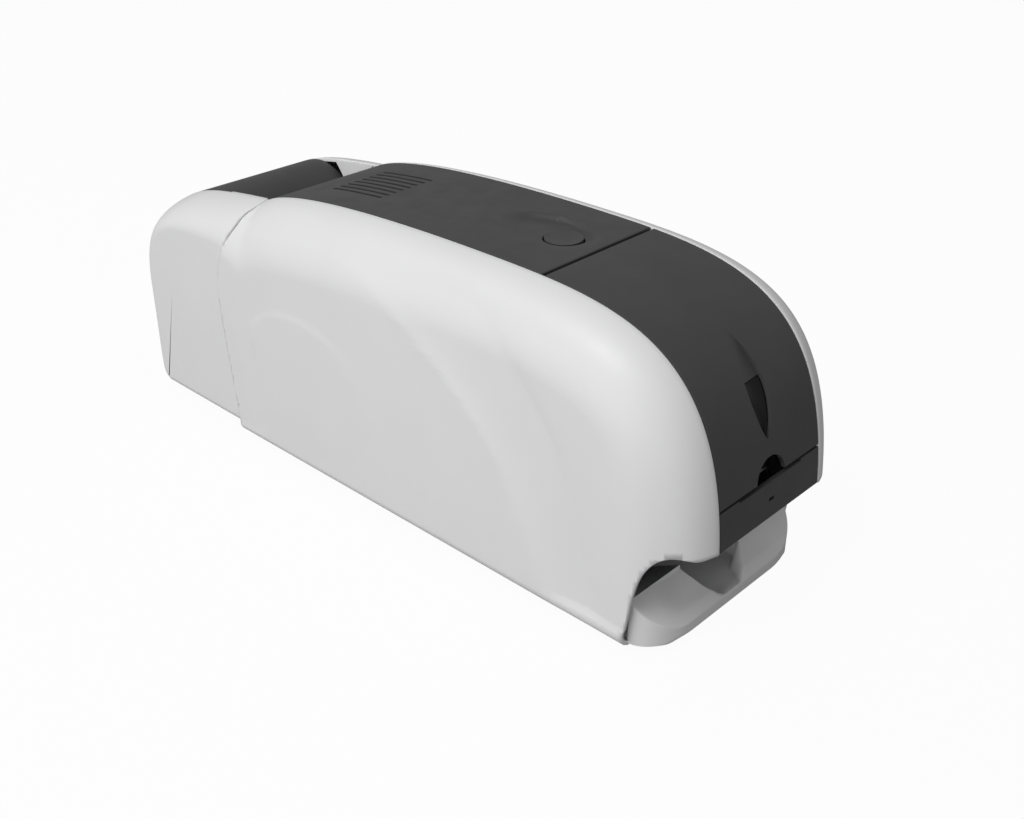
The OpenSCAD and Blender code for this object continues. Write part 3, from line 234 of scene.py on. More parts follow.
def side_of(curve, pts):
    """Signed distance of points to an open curve, positive on its left."""
    a, b = curve[:-1], curve[1:]
    d = b - a
    best, sign = np.full(len(pts), 1e9), np.ones(len(pts))
    for i in range(len(a)):
        w = pts - a[i]
        t = np.clip((w @ d[i]) / (d[i] @ d[i]), 0, 1)
        r = w - t[:, None] * d[i]
        q = np.hypot(r[:, 0], r[:, 1])
        c = d[i][0] * w[:, 1] - d[i][1] * w[:, 0]
        near = q < best
        best[near], sign[near] = q[near], np.sign(c)[near]
    return best * sign


def arc(y, z, r, a0, a1, n, last=True):
    """Points on a circle from one angle to another, in degrees."""
    return [(y + r * math.cos(a), z + r * math.sin(a))
            for a in np.linspace(math.radians(a0), math.radians(a1), n, endpoint=last)]


def circle(y, z, r, n=64):
    return arc(y, z, r, 0, 360, n, last=False)


def band(p, n, a, b):
    """Outline of the strip that lies between the depths a and b under a curve."""
    return [tuple(q) for q in p + a * n] + [tuple(q) for q in (p + b * n)[::-1]]


def span(side, a, b):
    """x range from a to b out from the middle, on the left (-1) or on the right (1)."""
    return sorted((side * a, side * b))


# ---- mesh helpers ----
def linked(name, me):
    o = bpy.data.objects.new(name, me)
    bpy.context.scene.collection.objects.link(o)
    return o


def obj_from(name, verts, faces, mats, angle=32):
    """Object from points of the drawing, in millimetres."""
    points = (np.asarray(verts, float) - MID) * MM
    me = bpy.data.meshes.new(name)
    me.from_pydata([tuple(v) for v in points], [], [tuple(int(i) for i in f) for f in faces])
    bm = bmesh.new()
    bm.from_mesh(me)
    bmesh.ops.remove_doubles(bm, verts=bm.verts, dist=1e-7)
    bmesh.ops.recalc_face_normals(bm, faces=bm.faces)
    bm.to_mesh(me)
    bm.free()
    for m in mats:
        me.materials.append(m)
    shade(me, angle)
    return linked(name, me)


def carve(o, cutter, how="DIFFERENCE"):
    m = o.modifiers.new("cut", "BOOLEAN")
    m.operation, m.solver, m.object = how, "MANIFOLD", cutter
    me = bpy.data.meshes.new_from_object(o.evaluated_get(bpy.context.evaluated_depsgraph_get()))
    o.modifiers.clear()
    o.data = me
    bpy.data.objects.remove(cutter)


def prism(name, poly, lo, hi, axis="x", mat=None):
    """Solid over a polygon, pushed along one axis from lo to hi; its points hold the two other axes."""
    n, at = len(poly), "xyz".index(axis)
    pts = [(*q[:at], s, *q[at:]) for s in (lo, hi) for q in poly]
    faces = [list(range(n))[::-1], list(range(n, 2 * n))]
    faces += [[i, (i + 1) % n, n + (i + 1) % n, n + i] for i in range(n)]
    return obj_from(name, pts, faces, [mat] if mat else [])


def bar(name, xs, ys, zs, mat=INNER):
    """Block between two x, two y and two z values."""
    return prism(name, [(ys[0], zs[0]), (ys[1], zs[0]), (ys[1], zs[1]), (ys[0], zs[1])], *xs, "x", mat)


def axle(name, xs, r, y, z, mat=INNER):
    """Round bar along x."""
    return prism(name, circle(y, z, r, 40), *xs, "x", mat)


def washer(name, x, y, r, hole, z0, z1):
    """Ring round an upright bore, from z0 to z1."""
    outer, inner = np.array(circle(x, y, r)), np.array(circle(x, y, hole))
    n = len(outer)
    v = np.vstack([np.column_stack([c, np.full(n, z)]) for z in (z0, z1) for c in (outer, inner)])
    i = np.arange(n)
    j = (i + 1) % n
    f = []
    for a, b in ((0, 2), (3, 1), (2, 3), (1, 0)):
        f += np.stack([a * n + i, a * n + j, b * n + j, b * n + i], 1).tolist()
    return obj_from(name, v, f, [INNER])


def join(name, objs):
    """One object out of several; the first keeps its materials' order."""
    bm = bmesh.new()
    mats = []
    for o in objs:
        remap = []
        for m in o.data.materials:
            if m not in mats:
                mats.append(m)
            remap.append(mats.index(m))
        k = len(bm.faces)
        bm.from_mesh(o.data)
        bm.faces.ensure_lookup_table()
        for f in bm.faces[k:]:
            f.material_index = remap[f.material_index]
    me = bpy.data.meshes.new(name)
    bm.to_mesh(me)
    bm.free()
    for m in mats:
        me.materials.append(m)
    me.set_sharp_from_angle(angle=math.radians(32))
    for o in objs:
        bpy.data.objects.remove(o)
    return linked(name, me)


def mirrored(o, name):
    me = o.data.copy()
    me.name = name
    bm = bmesh.new()
    bm.from_mesh(me)
    for v in bm.verts:
        v.co.x = -v.co.x
    bmesh.ops.reverse_faces(bm, faces=bm.faces)
    bm.to_mesh(me)
    bm.free()
    return linked(name, me)


def slab(name, upper, lower, mat, angle):
    """Closed sheet between two grids of points."""
    n, k = upper.shape[:2]
    base = n * k
    faces = []
    for a in range(n - 1):
        for b in range(k - 1):
            c = [a * k + b, a * k + b + 1, (a + 1) * k + b + 1, (a + 1) * k + b]
            faces += [c, [base + i for i in c][::-1]]
    rim = [(0, b) for b in range(k)] + [(a, k - 1) for a in range(1, n)]
    rim += [(n - 1, b) for b in range(k - 2, -1, -1)] + [(a, 0) for a in range(n - 2, 0, -1)]
    for (a, b), (c, d) in zip(rim, rim[1:] + rim[:1]):
        faces.append([a * k + b, base + a * k + b, base + c * k + d, c * k + d])
    return obj_from(name, np.vstack([upper.reshape(-1, 3), lower.reshape(-1, 3)]), faces, [mat], angle)


def skin(name, rows, xs, wall, edge, dip=None, keep=None, mat=DARK):
    """Curved cover of one thickness. rows: points and normals front to rear; xs: the x stations of each row.
    edge rounds the rim; dip(x, y, z) sinks the outside; keep(x, y, z) tells which cells stay."""
    p, nv = rows
    n, k = xs.shape
    Y, Z = np.repeat(p[:, :1], k, 1), np.repeat(p[:, 1:2], k, 1)
    NY, NZ = np.repeat(nv[:, :1], k, 1), np.repeat(nv[:, 1:2], k, 1)
    s = np.concatenate([[0], np.cumsum(np.linalg.norm(np.diff(p, axis=0), axis=1))])[:, None]
    sink = rounding(np.minimum(np.minimum(s, s[-1] - s), CX - np.abs(xs)), edge)
    if dip is not None:
        sink = np.maximum(sink, dip(xs, Y, Z))
    deep = np.maximum(wall, sink + wall * 0.6)
    verts = np.vstack([np.stack([xs, Y + NY * d, Z + NZ * d], 2).reshape(-1, 3) for d in (sink, deep)])
    cells = np.ones((n - 1, k - 1), bool)
    if keep is not None:
        cells = keep(*[(c[:-1, :-1] + c[1:, 1:]) / 2 for c in (xs, Y, Z)])
    faces, base = [], n * k
    for a in range(n - 1):
        for b in range(k - 1):
            if not cells[a, b]:
                continue
            c = [a * k + b, a * k + b + 1, (a + 1) * k + b + 1, (a + 1) * k + b]
            faces.append(c)
            faces.append([base + i for i in c][::-1])
            beside = ((-1, 0, c[0], c[1]), (1, 0, c[2], c[3]), (0, 1, c[1], c[2]), (0, -1, c[3], c[0]))
            for da, db, u, v in beside:
                aa, bb = a + da, b + db
                if not (0 <= aa < n - 1 and 0 <= bb < k - 1 and cells[aa, bb]):
                    faces.append([v, u, base + u, base + v])
    return obj_from(name, verts, faces, [mat], angle=40)


def stations(n, rows):
    """x stations across a cover, closer at both edges, the same for every row."""
    rim = 1.2
    close = rim * np.array([0.12, 0.35, 0.65])
    x = np.concatenate([[-CX], -CX + close, np.linspace(-1, 1, n) * (CX - rim), (CX - close)[::-1], [CX]])
    return np.repeat(x[None], rows, 0)


def graded(n):
    """Row stations from 0 to 1 that crowd at both ends."""
    return np.unique(np.concatenate([[0, 0.0004, 0.001, 0.002], np.linspace(0, 1, n)[1:-1],
                                     [0.998, 0.999, 0.9996, 1]]))


def straight(a, b, n):
    """Rows that go over from one to another."""
    return [(a, b, t) for t in np.linspace(0, 1, n, endpoint=False)]


def row(*a):
    """Row of a rounded side that stands by itself, not between two others."""
    return (a, a, 0)


def rounded_side(name, line, centre, wall, relief_of, mat):
    """Casing side as a closed shell: its shoulder rolls over from the top into the flat of the side.
    A row of line is y, z, inward y, inward z, depth, first x, last x, edge x; a row between two others
    holds both and the share of the second. The first half of the rows runs front to rear along the top,
    the second half rear to front along the bottom. centre: lowest y, highest y and z of the line that
    the rings close on. relief_of(y, z): how far the outside lies in from its last x."""
    one = np.array([r[0] for r in line], float)
    two = np.array([r[1] for r in line], float)
    share = np.array([r[2] for r in line], float)[:, None]
    n = len(line)
    half = n // 2

    def blend(of):
        return of(one) * (1 - share) + of(two) * share

    q = blend(lambda r: r[:, :2])
    pair = np.concatenate([np.arange(n - 1, half - 1, -1), np.arange(half - 1, -1, -1)])
    lo, hi, zc = centre
    mid = np.stack([np.clip((q[:, 0] + q[pair, 0]) / 2, lo, hi), np.full(n, zc)], 1)
    flat_x = one[0, 6]

    def place(r, t, w):
        """One ring of the shoulder, sunk by w: x, y, z and the depth under the row's start."""
        a = r[:, 4] * 5 / 6 * (1 - math.cos(t)) + r[:, 4] / 6 * math.sin(t)
        yz = r[:, :2] + (a + w * (0.15 + 0.85 * math.cos(t)))[:, None] * r[:, 2:4]
        return np.column_stack([r[:, 5] + (r[:, 6] - w - r[:, 5]) * math.sin(t), yz, a])

    def rings(w, steps, inner):
        """Rings from the edge over the shoulder to the centre line, sunk by w."""
        out = []
        for a, dx in ((0.55, 0.0), (0.16, 0.3)) if w == 0 else ((w, 0.0),):
            out.append(blend(lambda r: np.column_stack([r[:, 7] + dx, r[:, :2] + a * r[:, 2:4]])))
        for t in np.linspace(0.0, math.pi / 2, steps):
            p = blend(lambda r: place(r, t, w))
            x = p[:, 0] - smooth(p[:, 3] / 22.0) * relief_of(p[:, 1], p[:, 2])
            out.append(np.column_stack([x, p[:, 1:3]]))
        last = out[-1][:, 1:]
        for r in np.linspace(0, 1, inner)[1:]:
            p = last * (1 - r) + mid * r
            if r == 1:
                p = (p + p[pair]) / 2
            out.append(np.column_stack([flat_x - w - relief_of(p[:, 0], p[:, 1]), p]))
        return out

    outer, inner = rings(0, 22, 30), rings(wall, 8, 9)
    faces = []
    i = np.arange(n)
    j = (i + 1) % n

    def strip(a, b, flip):
        f = np.stack([a * n + i, a * n + j, b * n + j, b * n + i], 1)
        faces.extend((f[:, ::-1] if flip else f).tolist())

    for k in range(len(outer) - 1):
        strip(k, k + 1, False)
    base = len(outer)
    for k in range(len(inner) - 1):
        strip(base + k, base + k + 1, True)
    strip(0, base, True)
    return obj_from(name, np.vstack(outer + inner), faces, [mat], angle=50)


# ---- side covers ----
CREST = spline([(190, 160), (124, 167), (58, 177), (9, 174), (-36, 155), (-78, 127), (-111, 99), (-135, 61),
                (-152, 25), (-160, 0)], 6)
VALLEY = spline([(0, 204), (-50, 194), (-104, 176), (-135, 148), (-158, 119), (-174, 79), (-187, 36),
                 (-195, 0)], 6)
DISC = spline([(120, 20), (113.5, 36), (120, 70), (123.5, 90), (121, 103), (108, 115), (92, 121.5),
               (65, 124.5), (40, 120), (25, 114), (7, 97), (-7, 78), (-16, 60)], 6)
SEAM = spline([(153, 43), (156.8, 79.5), (158.7, 101.3), (158.4, 119.2), (155.3, 137.1), (150.5, 149),
               (146, 159.4), (143, 166.8), (141.8, 173.8), (138, 178.9), (136.4, 181.9)], 4)
SEAM = [(148, 0), (148, 5), (149.5, 11)] + [tuple(p) for p in SEAM] + [(136.4, 240)]
ARCH = spline([(-250.5, LIP), (-247, LIP - 0.6), (-241, LIP + 1.6), (-235, LIP + 1.4), (-228.5, LIP - 3.2),
               (-222, 61), (-218, 46), (-214.8, 25), (-212.6, 5)], 6)
SKIRT_REAR, SKIRT_FRONT, SKIRT_Z = 175, -214, 5
RIM = (SX + 1, BX, SX)


def relief(y, z):
    """How far the side lies inside its plane: it drops past the crest, rises past the valley line, and a
    disc-shaped rise lies at its rear."""
    p = np.stack([y, z], 1)
    past_crest, past_valley, past_disc = -side_of(CREST, p), -side_of(VALLEY, p), side_of(DISC, p)
    h = 4.2 * np.where(past_crest > 0, 1 - np.exp(-np.maximum(past_crest, 0) / 14.0), 0.0)
    h -= 1.7 * np.where(past_valley > 0, 1 - np.exp(-np.maximum(past_valley, 0) / 9.0), 0.0)
    fade = smooth((y * 0.55 + z + 20) / 110.0)
    return h + 0.5 * (1 - smooth((past_disc + 2.5) / 5.0)) * fade * (past_crest < 0)


def skirt(y, depth):
    """Row along the bottom edge, which draws in towards the front."""
    x = BX - 9 - 0.6 * (SKIRT_REAR - y) / 65
    return [y, SKIRT_Z, 0, 1, depth, x + 1, BX, x]


start = [-252, 30, 1, 0, SHOULDER, *RIM]
top = [row(-252, z, *start[2:]) for z in np.linspace(30, 72, 10)[:-1]]
for curve, k in ((FRONT, 70), (REAR, 42)):
    p, v = along(curve, np.linspace(0, 1, k))
    top += [row(*p[i], *v[i], SHOULDER, *RIM) for i in range(k - 1)]
p, v = along(MOD, np.linspace(0.055, 0.17, 12))
rear = [[*p[i], *v[i], SHOULDER - 0.5 * (p[i, 0] - REAR[3][0]), *RIM] for i in range(12)]
top += [row(*r) for r in rear]
low = straight(rear[-1], skirt(SKIRT_REAR, 8), 20)
low += [row(*skirt(y, 8 + 0.012 * (SKIRT_REAR - y)))
        for y in np.linspace(SKIRT_REAR, SKIRT_FRONT, len(top) - 42)]
low += straight(skirt(SKIRT_FRONT, 12.6), start, 23)[1:]
side = rounded_side("side", top + low, (-190, 110, 95), SIDE_WALL, relief, WHITE)
outline = [(-270, LIP)] + [tuple(p) for p in ARCH] + [(-212.6, 0)] + SEAM + [(-270, 240)]
carve(side, prism("cut", outline, SX - 1, BX + 1), "INTERSECT")
side.name = "side_shell_right"
left = mirrored(side, "side_shell_left")
for o, node in ((side, "side_cover_right"), (left, "side_cover_left")):
    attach(o, "chassis")
    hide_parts(node)


# ---- top cover with vents, button well, hinge knuckles, ribs, latch hooks and print head posts ----
REL_Y = -90.0                               # release button
WELL_X, WELL_Y, WELL_R = -0.45, REL_Y - 0.5, 13.1
COVER_END = 137.5
VENTS, VENT_PITCH = 8, 6.5
CHEEK = (CX - 2.4, CX - 0.15)               # stiff edges under the dark covers


def scoop(x, y, z):
    """Shallow thumb hollow round the release button: crisp at the far side, soft at the near one."""
    q = np.hypot((y - (REL_Y + 15.0)) / 38.5, x / 25.5)
    far = smooth((x + 8) / 26.0)
    return (1.1 + 1.7 * far) * smooth((1 - q) / (0.62 - 0.5 * far))


def vent(x, y0=49.5, y1=99.5, r=1.3):
    a = np.linspace(0, math.pi, 8)
    return ([(x + r * math.cos(t), y1 - r + r * math.sin(t)) for t in a]
            + [(x - r * math.cos(t), y0 + r - r * math.sin(t)) for t in a])


p, nv, _ = profile(graded(120), SEAM_Y + SEAM_GAP / 2, COVER_END)
cover = skin("top_cover_shell", (p, nv), stations(66, len(p)), COVER_WALL, 0.7, dip=scoop)
for i in range(VENTS):
    carve(cover, prism("cut", vent((i - (VENTS - 1) / 2) * VENT_PITCH), 180, 210, "z"))
carve(cover, prism("cut", circle(WELL_X, WELL_Y, WELL_R), 180, 210, "z"))
knuckle = arc(128, 174, 5, 180, 340, 14) + [(134, 181), (112, 188)]
p, nv, _ = profile(60, SEAM_Y + 6, 120)
rib = band(p, nv, 0.9, 6.5)
hook = [(REL_Y - 13.4, 197), (REL_Y - 13.4, 176), (REL_Y - 18, 176), (REL_Y - 20, 180), (REL_Y - 19, 181.5),
        (REL_Y - 16.6, 180.6), (REL_Y - 16.6, 200), (REL_Y - 13.4, 200)]
under = [cover, washer("well", WELL_X, WELL_Y, 15.0, WELL_R, 189, 198.6),
         washer("well_floor", 0, REL_Y, 14.4, 4.4, 189, 190)]
for s in (-1, 1):
    under.append(prism("knuckle", knuckle, *span(s, 34, 37.6), "x", INNER))
    under.append(prism("rib", rib, *span(s, *CHEEK), "x", INNER))
    under.append(prism("hook", hook, *span(s, 34.2, 37.2), "x", INNER))
    for y in (-52, -21):
        under.append(bar("post", span(s, 24, 30), (y - 1.5, y + 1.5), (190, 200)))
cover = join("top_cover_shell", under)
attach(cover, "top_cover_body")
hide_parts("top_cover")

# ---- front cover with the scooped half of the almond and the arch notch ----
LEAF_Z, LEAF_W, LEAF_H = 152, 8.4, 29.0
KEY_TOP = 157.2
NOTCH_R = 14
INSIDE = [-0.97, -0.9, -0.75, -0.6, -0.45, -0.3, -0.15, 0, 0.15, 0.3, 0.45, 0.6, 0.72, 0.8, 0.87, 0.93, 0.97]
OUTSIDE = [0, 0.006, 0.015, 0.03, 0.06, 0.1, 0.16, 0.24, 0.34, 0.45, 0.56, 0.67, 0.78, 0.88, 0.95, 0.972,
           0.986, 0.994, 1]


def leaf_half(z, w=LEAF_W, h=LEAF_H):
    """Half width of the almond at a height."""
    return w * np.maximum(1 - ((z - LEAF_Z) / h) ** 2, 0) ** 0.9


def notch_half(z):
    return NOTCH_R * np.sqrt(np.maximum(1 - ((z - LIP - 25) / NOTCH_R) ** 2, 0))


def across(w):
    """x stations of one row: some inside the half width w, the others out to the rim."""
    out = w + (CX - w) * np.array(OUTSIDE)
    return np.concatenate([-out[::-1], w * np.array(INSIDE), out])


def lever(x, y, z):
    """Scooped upper half of the almond: flush at its left edge, deepest at its right one."""
    w = np.maximum(leaf_half(z), 0.3)
    d = 2.3 * smooth((x / w + 1) / 2 / 0.9) * smooth((180.6 - z) / 16.0)
    return np.where((np.abs(x) < w * 0.999) & (z > KEY_TOP - 0.6) & (z < 181), d, 0)


def solid_front(x, y, z):
    key = (np.abs(x) < leaf_half(z)) & (z > 124.5) & (z < KEY_TOP)
    notch = (np.abs(x) < notch_half(z)) & (z < LIP + 39)
    return ~(key | notch)


fine = profile(2600, -260, SEAM_Y - SEAM_GAP / 2, LIP + 26)
length = fine[2][-1]
want = np.unique(np.round(np.concatenate([
    [0, 0.2, 0.45, 0.75, 1.1], np.arange(1.6, 14, 0.5), np.arange(14, 24, 0.7), np.arange(24, 56, 0.7),
    [55.9, 56.2], np.arange(56.9, 84, 0.7), np.arange(84, 400, 3.0)]), 3))
want = np.concatenate([want[want < length - 1.5], length - np.array([1.1, 0.75, 0.4, 0.2, 0])])
idx = np.clip(np.searchsorted(fine[2], want), 0, len(fine[2]) - 1)
p, nv = fine[0][idx], fine[1][idx]
half_x = np.maximum(np.maximum(leaf_half(p[:, 1]), notch_half(p[:, 1])), 0.3)
xs = np.array([across(w) for w in half_x])
front = skin("front_cover_shell", (p, nv), xs, COVER_WALL, 0.7, dip=lever, keep=solid_front)
p, nv, _ = profile(40, -260, SEAM_Y - 8, LIP + 30)
rib = band(p, nv, 0.9, 6)
parts = [front]
for s in (-1, 1):
    parts.append(prism("rib", rib, *span(s, *CHEEK), "x", INNER))
    parts.append(axle("knuckle", span(s, SX - 6, CX - 0.1), 2.5, -121.8, 198))
front = join("front_cover_shell", parts)
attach(front, "front_cover_body")
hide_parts("front_cover")

# ---- gloss key in the lower half of the almond ----
KEY_WALL = 1.6
zk =np.concatenate([[125.5, 125.8, 126.3], np.linspace(127, 155.6, 40), [156.2, 156.6, 156.8]])
p, nv = at_heights(fine, zk)
p = p + 1.7 * nv
wk = np.maximum(leaf_half(zk, 8.1, 28.6), 0.3)[:, None]
u = np.concatenate([[-1, -0.985, -0.95], np.linspace(-0.88, 0.88, 15), [0.95, 0.985, 1]])[None]
xs = wk * u
sink = 0.9 * (1 - (xs / np.maximum(wk, 1)) ** 2)
sink = sink + 0.5 * smooth((np.abs(u) - 0.93) / 0.07) + 0.5 * smooth((zk[:, None] - 156.0) / 0.8)
upper, lower = [np.stack([xs, p[:, :1] + nv[:, :1] * d, p[:, 1:2] + nv[:, 1:2] * d], 2)
                for d in (sink, sink + KEY_WALL)]
key = slab("control_key", upper, lower, GLOSS, 40)
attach(key, "control_button_body")
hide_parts("control_button")

# ---- lower bezel with the card slot over it ----
zb = LIP + np.concatenate([[0, 0.15, 0.4, 0.8], np.linspace(2, 22.6, 16), [23.8, 24.2, 24.45, 24.6]])
p, nv = at_heights(profile(2600, -260, -200, LIP), zb)
bezel = skin("lower_bezel_shell", (p, nv), stations(40, len(p)), COVER_WALL, 0.7)
carve(bezel, bar("cut", (-31, 31), (-260, -240), (LIP + 23.4, LIP + 30)))
carve(bezel, bar("cut", (-2.6, 2.6), (-260, -240), (LIP + 11.5, LIP + 13.5)))
parts = [bezel, bar("flange", (-CX + 0.1, CX - 0.1), (-249.6, -238), (LIP + 0.02, LIP + 2))]
for s in (-1, 1):
    parts.append(bar("tab", span(s, 35, 37.95), (-249.5, -226), (LIP + 4, LIP + 16)))
bezel = join("lower_bezel_shell", parts)
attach(bezel, "chassis")
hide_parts("lower_bezel")

# ---- sides of the rear module ----
MOD_GAP, MOD_Z = 0.5, 9                     # gap to the side covers, underside


def mod_x(s):
    """First x of the lower rows, which roll over later than the upper ones."""
    return SX + 1 + (MX - 9 - SX) * s


def inner_row(y, z, ny, nz):
    """Row on the underside or on the hidden front of the module."""
    return [y, z, ny, nz, 8, mod_x(1), MX, SX]


t = np.linspace(0, 1, 81)
p, v = along(MOD, t)
rows = [row(*p[i], *v[i], 34 - 18 * math.sin(t[i] * math.pi / 2) ** 0.6, SX + 1, MX, SX) for i in range(80)]
t = np.linspace(0, 1, 41)
p, v = along(LOW, t)
s = np.sin(t * math.pi / 2) ** 2
rows += [row(*p[i], *v[i], 16 - 8 * s[i], mod_x(s[i]), MX, SX) for i in range(40)]
corners = [inner_row(LOW[3][0], MOD_Z, 0, 1), inner_row(125, MOD_Z, 0, 1), inner_row(112, 60, 1, 0),
           inner_row(112, 130, 1, 0), [*MOD[0], *inward(dbez(MOD, 0.0))[0], 34, SX + 1, MX, SX]]
for a, b, k in zip(corners, corners[1:], (20, 6, 8, 6)):
    rows += straight(a, b, k)
mod = rounded_side("module_side", rows, (160, 225, 95), SIDE_WALL, lambda y, z: 0 * y, WHITE)
seam = [(y + MOD_GAP, z) for y, z in SEAM] + [(400, 240), (400, 0)]
carve(mod, prism("cut", seam, SX - 1, BX), "INTERSECT")
mod.name = "module_shell_right"
other = mirrored(mod, "module_shell_left")
for o, node in ((mod, "rear_side_cover_right"), (other, "rear_side_cover_left")):
    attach(o, "chassis")
    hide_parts(node)

# ---- rear lid: a round crest over the gap to the top cover, and a tail down to the hinge ----
LID_T, LID_R, LH_Y, LH_Z = 10 / 24, 40.0, 264.4, 103.0
LID_N = inward(dbez(MOD, LID_T))[0]
LID_Y, LID_Z = bez(MOD, LID_T)[0] + LID_R * LID_N


def lid_rows(d=0.0):
    """Points and normals of the lid's outside, sunk by d."""
    a = np.linspace(math.radians(166), math.atan2(-LID_N[1], -LID_N[0]), 50)
    crest = np.stack([LID_Y + LID_R * np.cos(a), LID_Z + LID_R * np.sin(a)], 1)
    q, m = along(MOD, np.linspace(LID_T, 1, 400)[3:])
    ok = q[:, 1] > LH_Z + 2.8
    p = np.vstack([crest, q[ok][::4]])
    n = np.vstack([-np.stack([np.cos(a), np.sin(a)], 1), m[ok][::4]])
    for _ in range(2):                       # eases the meeting of crest and tail
        n[1:-1] = n[1:-1] * 0.5 + (n[:-2] + n[2:]) * 0.25
    return p + d * n, n / np.linalg.norm(n, axis=1)[:, None]


p, nv = lid_rows()
lid = skin("rear_lid_shell", (p, nv), stations(50, len(p)), COVER_WALL, 0.8)
cheek = []
for d, way in ((1.0, 1), (8.0, -1)):
    cheek += [tuple(c) for c in lid_rows(d)[0] if c[1] > LH_Z + 6][::way]
parts = [lid]
for s in (-1, 1):
    parts.append(prism("cheek", cheek, *span(s, *CHEEK), "x", INNER))
    parts.append(axle("knuckle", span(s, 18.5, 40.5), 2.3, LH_Y, LH_Z))
    parts.append(bar("lug", span(s, 18.5, 40.5), (LH_Y - 1, LH_Y + 2), (LH_Z, LH_Z + 4)))
lid = join("rear_lid_shell", parts)
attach(lid, "rear_lid_body")
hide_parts("rear_lid")

# ---- rear panel with the window for inlet, switch and ports ----
t = np.linspace(0, 1, 400)
p = np.vstack([bez(MOD, t), bez(LOW, t)[1:]])
nv = inward(np.vstack([dbez(MOD, t), dbez(LOW, t)[1:]]))
ok = p[:, 1] < LH_Z - 2.9
p, nv = p[ok], nv[ok]
step = np.unique(np.concatenate([[0, 1, 2, 3], np.arange(5, len(p), 8), [len(p) - 2, len(p) - 1]]))
under = np.array([[y, MOD_Z] for y in (236, 220, 200, 180, 165, 160, 158.8, 158.4, 158.2)])
p, nv = np.vstack([p[step], under]), np.vstack([nv[step], np.repeat([[0.0, 1.0]], len(under), 0)])
panel = skin("rear_panel_shell", (p, nv), stations(30, len(p)), SIDE_WALL, 0.6, mat=WHITE)
window = [(-41, 31), (41, 31), (44, 34), (44, 52), (41, 55), (-41, 55), (-44, 52), (-44, 34)]
carve(panel, prism("cut", window, 240, 275, "y"))
parts = [panel]
for xs in ((-48, -41), (-18, 18), (41, 48)):
    parts.append(axle("knuckle", xs, 2.3, LH_Y, LH_Z, WHITE))
    parts.append(bar("lug", xs, (LH_Y - 0.6, LH_Y + 2.3), (LH_Z - 6, LH_Z), WHITE))
panel = join("rear_panel_shell", parts)
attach(panel, "chassis")
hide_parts("rear_panel")

# ---- output tray ----
WING, WING_LOW, FRONT_Y, SEAT_Y = 37.0, 19.0, -232.6, -212.2
TRAY_REAR, TRAY_EDGE = -116, 1.2


def valley_half(y):
    """Half width of the card valley: it narrows towards the front lip."""
    return 13.0 + 16.5 * np.clip((y + 234.0) / (SEAT_Y + 234.0), 0, 1)


def tray_top(x, y):
    """Height of the tray's upper face."""
    ax, vw = np.abs(x), valley_half(y)
    rise = WING - WING_LOW
    wing = WING_LOW + rise * np.clip((y + 229.0) / 17.0, 0, 1) - 5.0 * smooth((-228.0 - y) / 5.0)
    wing = wing - 2.4 * smooth((58 - ax) / 20.0) * smooth((y + 232) / 10.0)
    back = WING - rise * np.clip((y - SEAT_Y) / 32.0, 0, 1)
    bed = 12.5 + 1.0 * smooth((-222 - y) / 10.0)
    soft = np.where(y < SEAT_Y, 9.0 * smooth((SEAT_Y - y) / 6.0) + 0.2, 0.2)
    z = np.where(y < SEAT_Y, wing, back)
    valley = np.minimum(z, bed + np.maximum(z - bed, 0) * smooth(1 - (vw - ax) / soft))
    return np.where(ax < vw, valley, z)


def tray_half(y):
    """Half width of the tray's plan: rounded corners in front, narrower inside the covers."""
    t = np.clip((-209.0 - y) / 23.6, 0, 1)
    front = 77.0 - 32.0 * (1 - np.sqrt(np.maximum(1 - t ** 2.2, 0)))
    return np.where(y < SEAT_Y + 0.05, front, 72.0)


def tray_stations(y):
    """x stations of one row; they follow the edges of the valley and of the plan."""
    vw, hw = float(valley_half(y)), float(tray_half(y))
    inside = vw * np.concatenate([[-0.993], np.linspace(-0.96, 0.96, 41), [0.993]])
    run = np.concatenate([[0, 0.004], np.linspace(0.03, 0.95, 34),
                          1 - np.array([0.03, 0.02, 0.012, 0.006, 0.002, 0])])
    outside = vw + (hw - vw) * run
    return np.concatenate([-outside[::-1], inside, outside])


ys = np.unique(np.concatenate([
    FRONT_Y + np.array([0, 0.06, 0.2, 0.5]), np.arange(-231.8, -226, 0.6), np.arange(-226, SEAT_Y, 1.0),
    SEAT_Y + np.array([-0.35, 0, 0.3, 1]), np.arange(-210, -180, 2.0), np.arange(-180, TRAY_REAR, 6.0),
    [TRAY_REAR]]))
X = np.array([tray_stations(y) for y in ys])
Y = np.repeat(ys[:, None], X.shape[1], 1)
near = tray_half(ys)[:, None] - np.abs(X)
T = tray_top(X, Y) - rounding(near, TRAY_EDGE) * (Y < SEAT_Y) - rounding(Y - FRONT_Y, TRAY_EDGE)
B = np.where(Y < -206.6, 4.4, 6.05) + 2.0 * smooth((-228.5 - Y) / 4.0)
B = np.minimum(B + 2.0 * smooth((4.0 - near) / 4.0) * (Y < SEAT_Y), T - 1.0)
tray = slab("output_tray_shell", np.stack([X, Y, T], 2), np.stack([X, Y, B], 2), WHITE, 28)
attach(tray, "chassis")
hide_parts("output_tray")


# ---- floor, backdrop and lights ----
def seen_directly(nt):
    """1 for what the camera looks at, 0 for light on its way from one thing to another."""
    path = nt.nodes.new("ShaderNodeLightPath")
    either = nt.nodes.new("ShaderNodeMath")
    either.operation = "MAXIMUM"
    nt.links.new(path.outputs["Is Camera Ray"], either.inputs[0])
    nt.links.new(path.outputs["Is Transmission Ray"], either.inputs[1])
    return either.outputs[0]


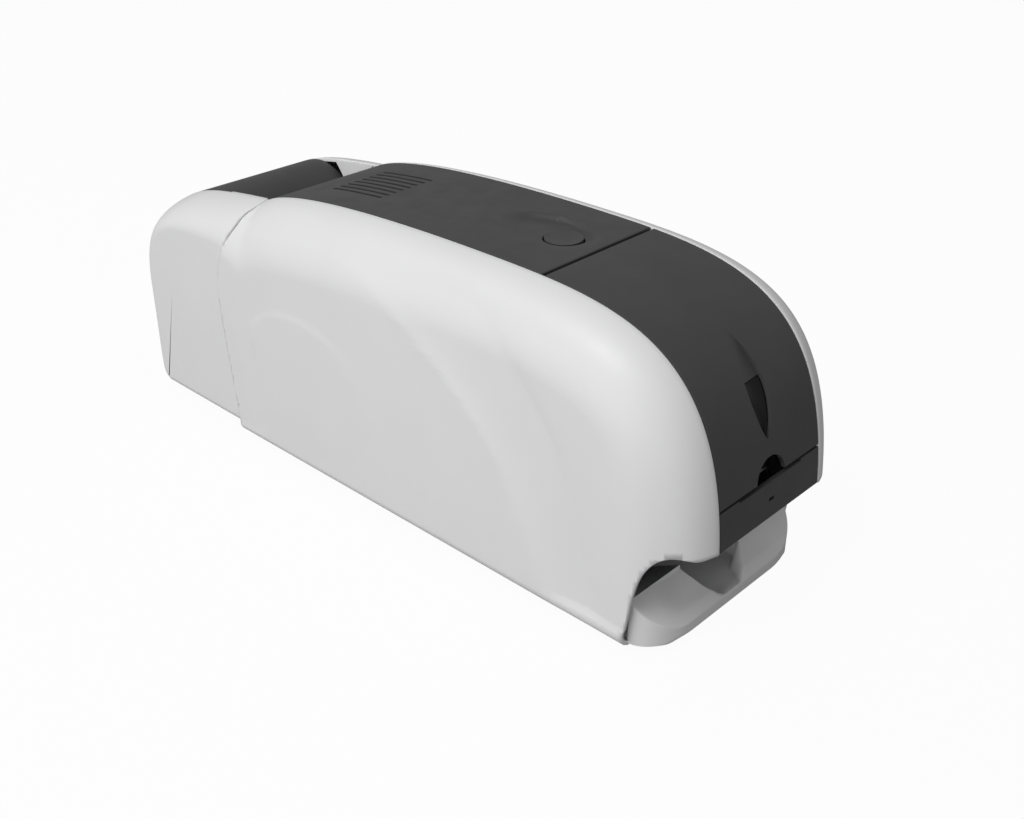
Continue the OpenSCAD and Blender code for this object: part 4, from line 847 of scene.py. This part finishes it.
def floor_material():
    """White to the camera but for a share of its shadow; mid grey for the light that it throws back."""
    m, nt, b = tree("floor")
    b.inputs["Base Color"].default_value = (0.36, 0.36, 0.36, 1)
    b.inputs["Roughness"].default_value = 0.9
    b.inputs["Specular IOR Level"].default_value = 0.1
    glow = nt.nodes.new("ShaderNodeEmission")
    glow.inputs["Strength"].default_value = 1.06
    share = nt.nodes.new("ShaderNodeMath")
    share.operation = "MULTIPLY"
    share.inputs[1].default_value = 0.9
    nt.links.new(seen_directly(nt), share.inputs[0])
    mix = nt.nodes.new("ShaderNodeMixShader")
    nt.links.new(share.outputs[0], mix.inputs["Fac"])
    nt.links.new(b.outputs["BSDF"], mix.inputs[1])
    nt.links.new(glow.outputs["Emission"], mix.inputs[2])
    nt.links.new(mix.outputs["Shader"], nt.nodes["Material Output"].inputs["Surface"])
    return m


bm = bmesh.new()
bmesh.ops.create_circle(bm, cap_ends=True, segments=96, radius=6.0)
me = bpy.data.meshes.new("floor")
bm.to_mesh(me)
bm.free()
me.materials.append(floor_material())
floor = linked("floor", me)

world = bpy.data.worlds.new("world")
bpy.context.scene.world = world
world.use_nodes = True
wn = world.node_tree
back = wn.nodes["Background"]
back.inputs["Color"].default_value = (1, 1, 1, 1)
level = wn.nodes.new("ShaderNodeMapRange")
level.inputs["To Min"].default_value, level.inputs["To Max"].default_value = 0.365, 1.0
wn.links.new(seen_directly(wn), level.inputs["Value"])
wn.links.new(level.outputs["Result"], back.inputs["Strength"])


def lamp(name, at, size, power):
    """Round soft lamp that points at the middle of the printer."""
    d = bpy.data.lights.new(name, "AREA")
    d.shape, d.size, d.energy = "DISK", size, power
    o = linked(name, d)
    o.location = at
    o.rotation_mode = "QUATERNION"
    o.rotation_quaternion = (Vector((0, 0, 0.1)) - Vector(at)).to_track_quat("-Z", "Y")


lamp("key", (-1.6, 0.15, 2.1), 1.3, 31)
lamp("side", (-2.2, -0.35, 0.5), 1.2, 10)

bpy.context.scene.view_settings.view_transform = "Standard"
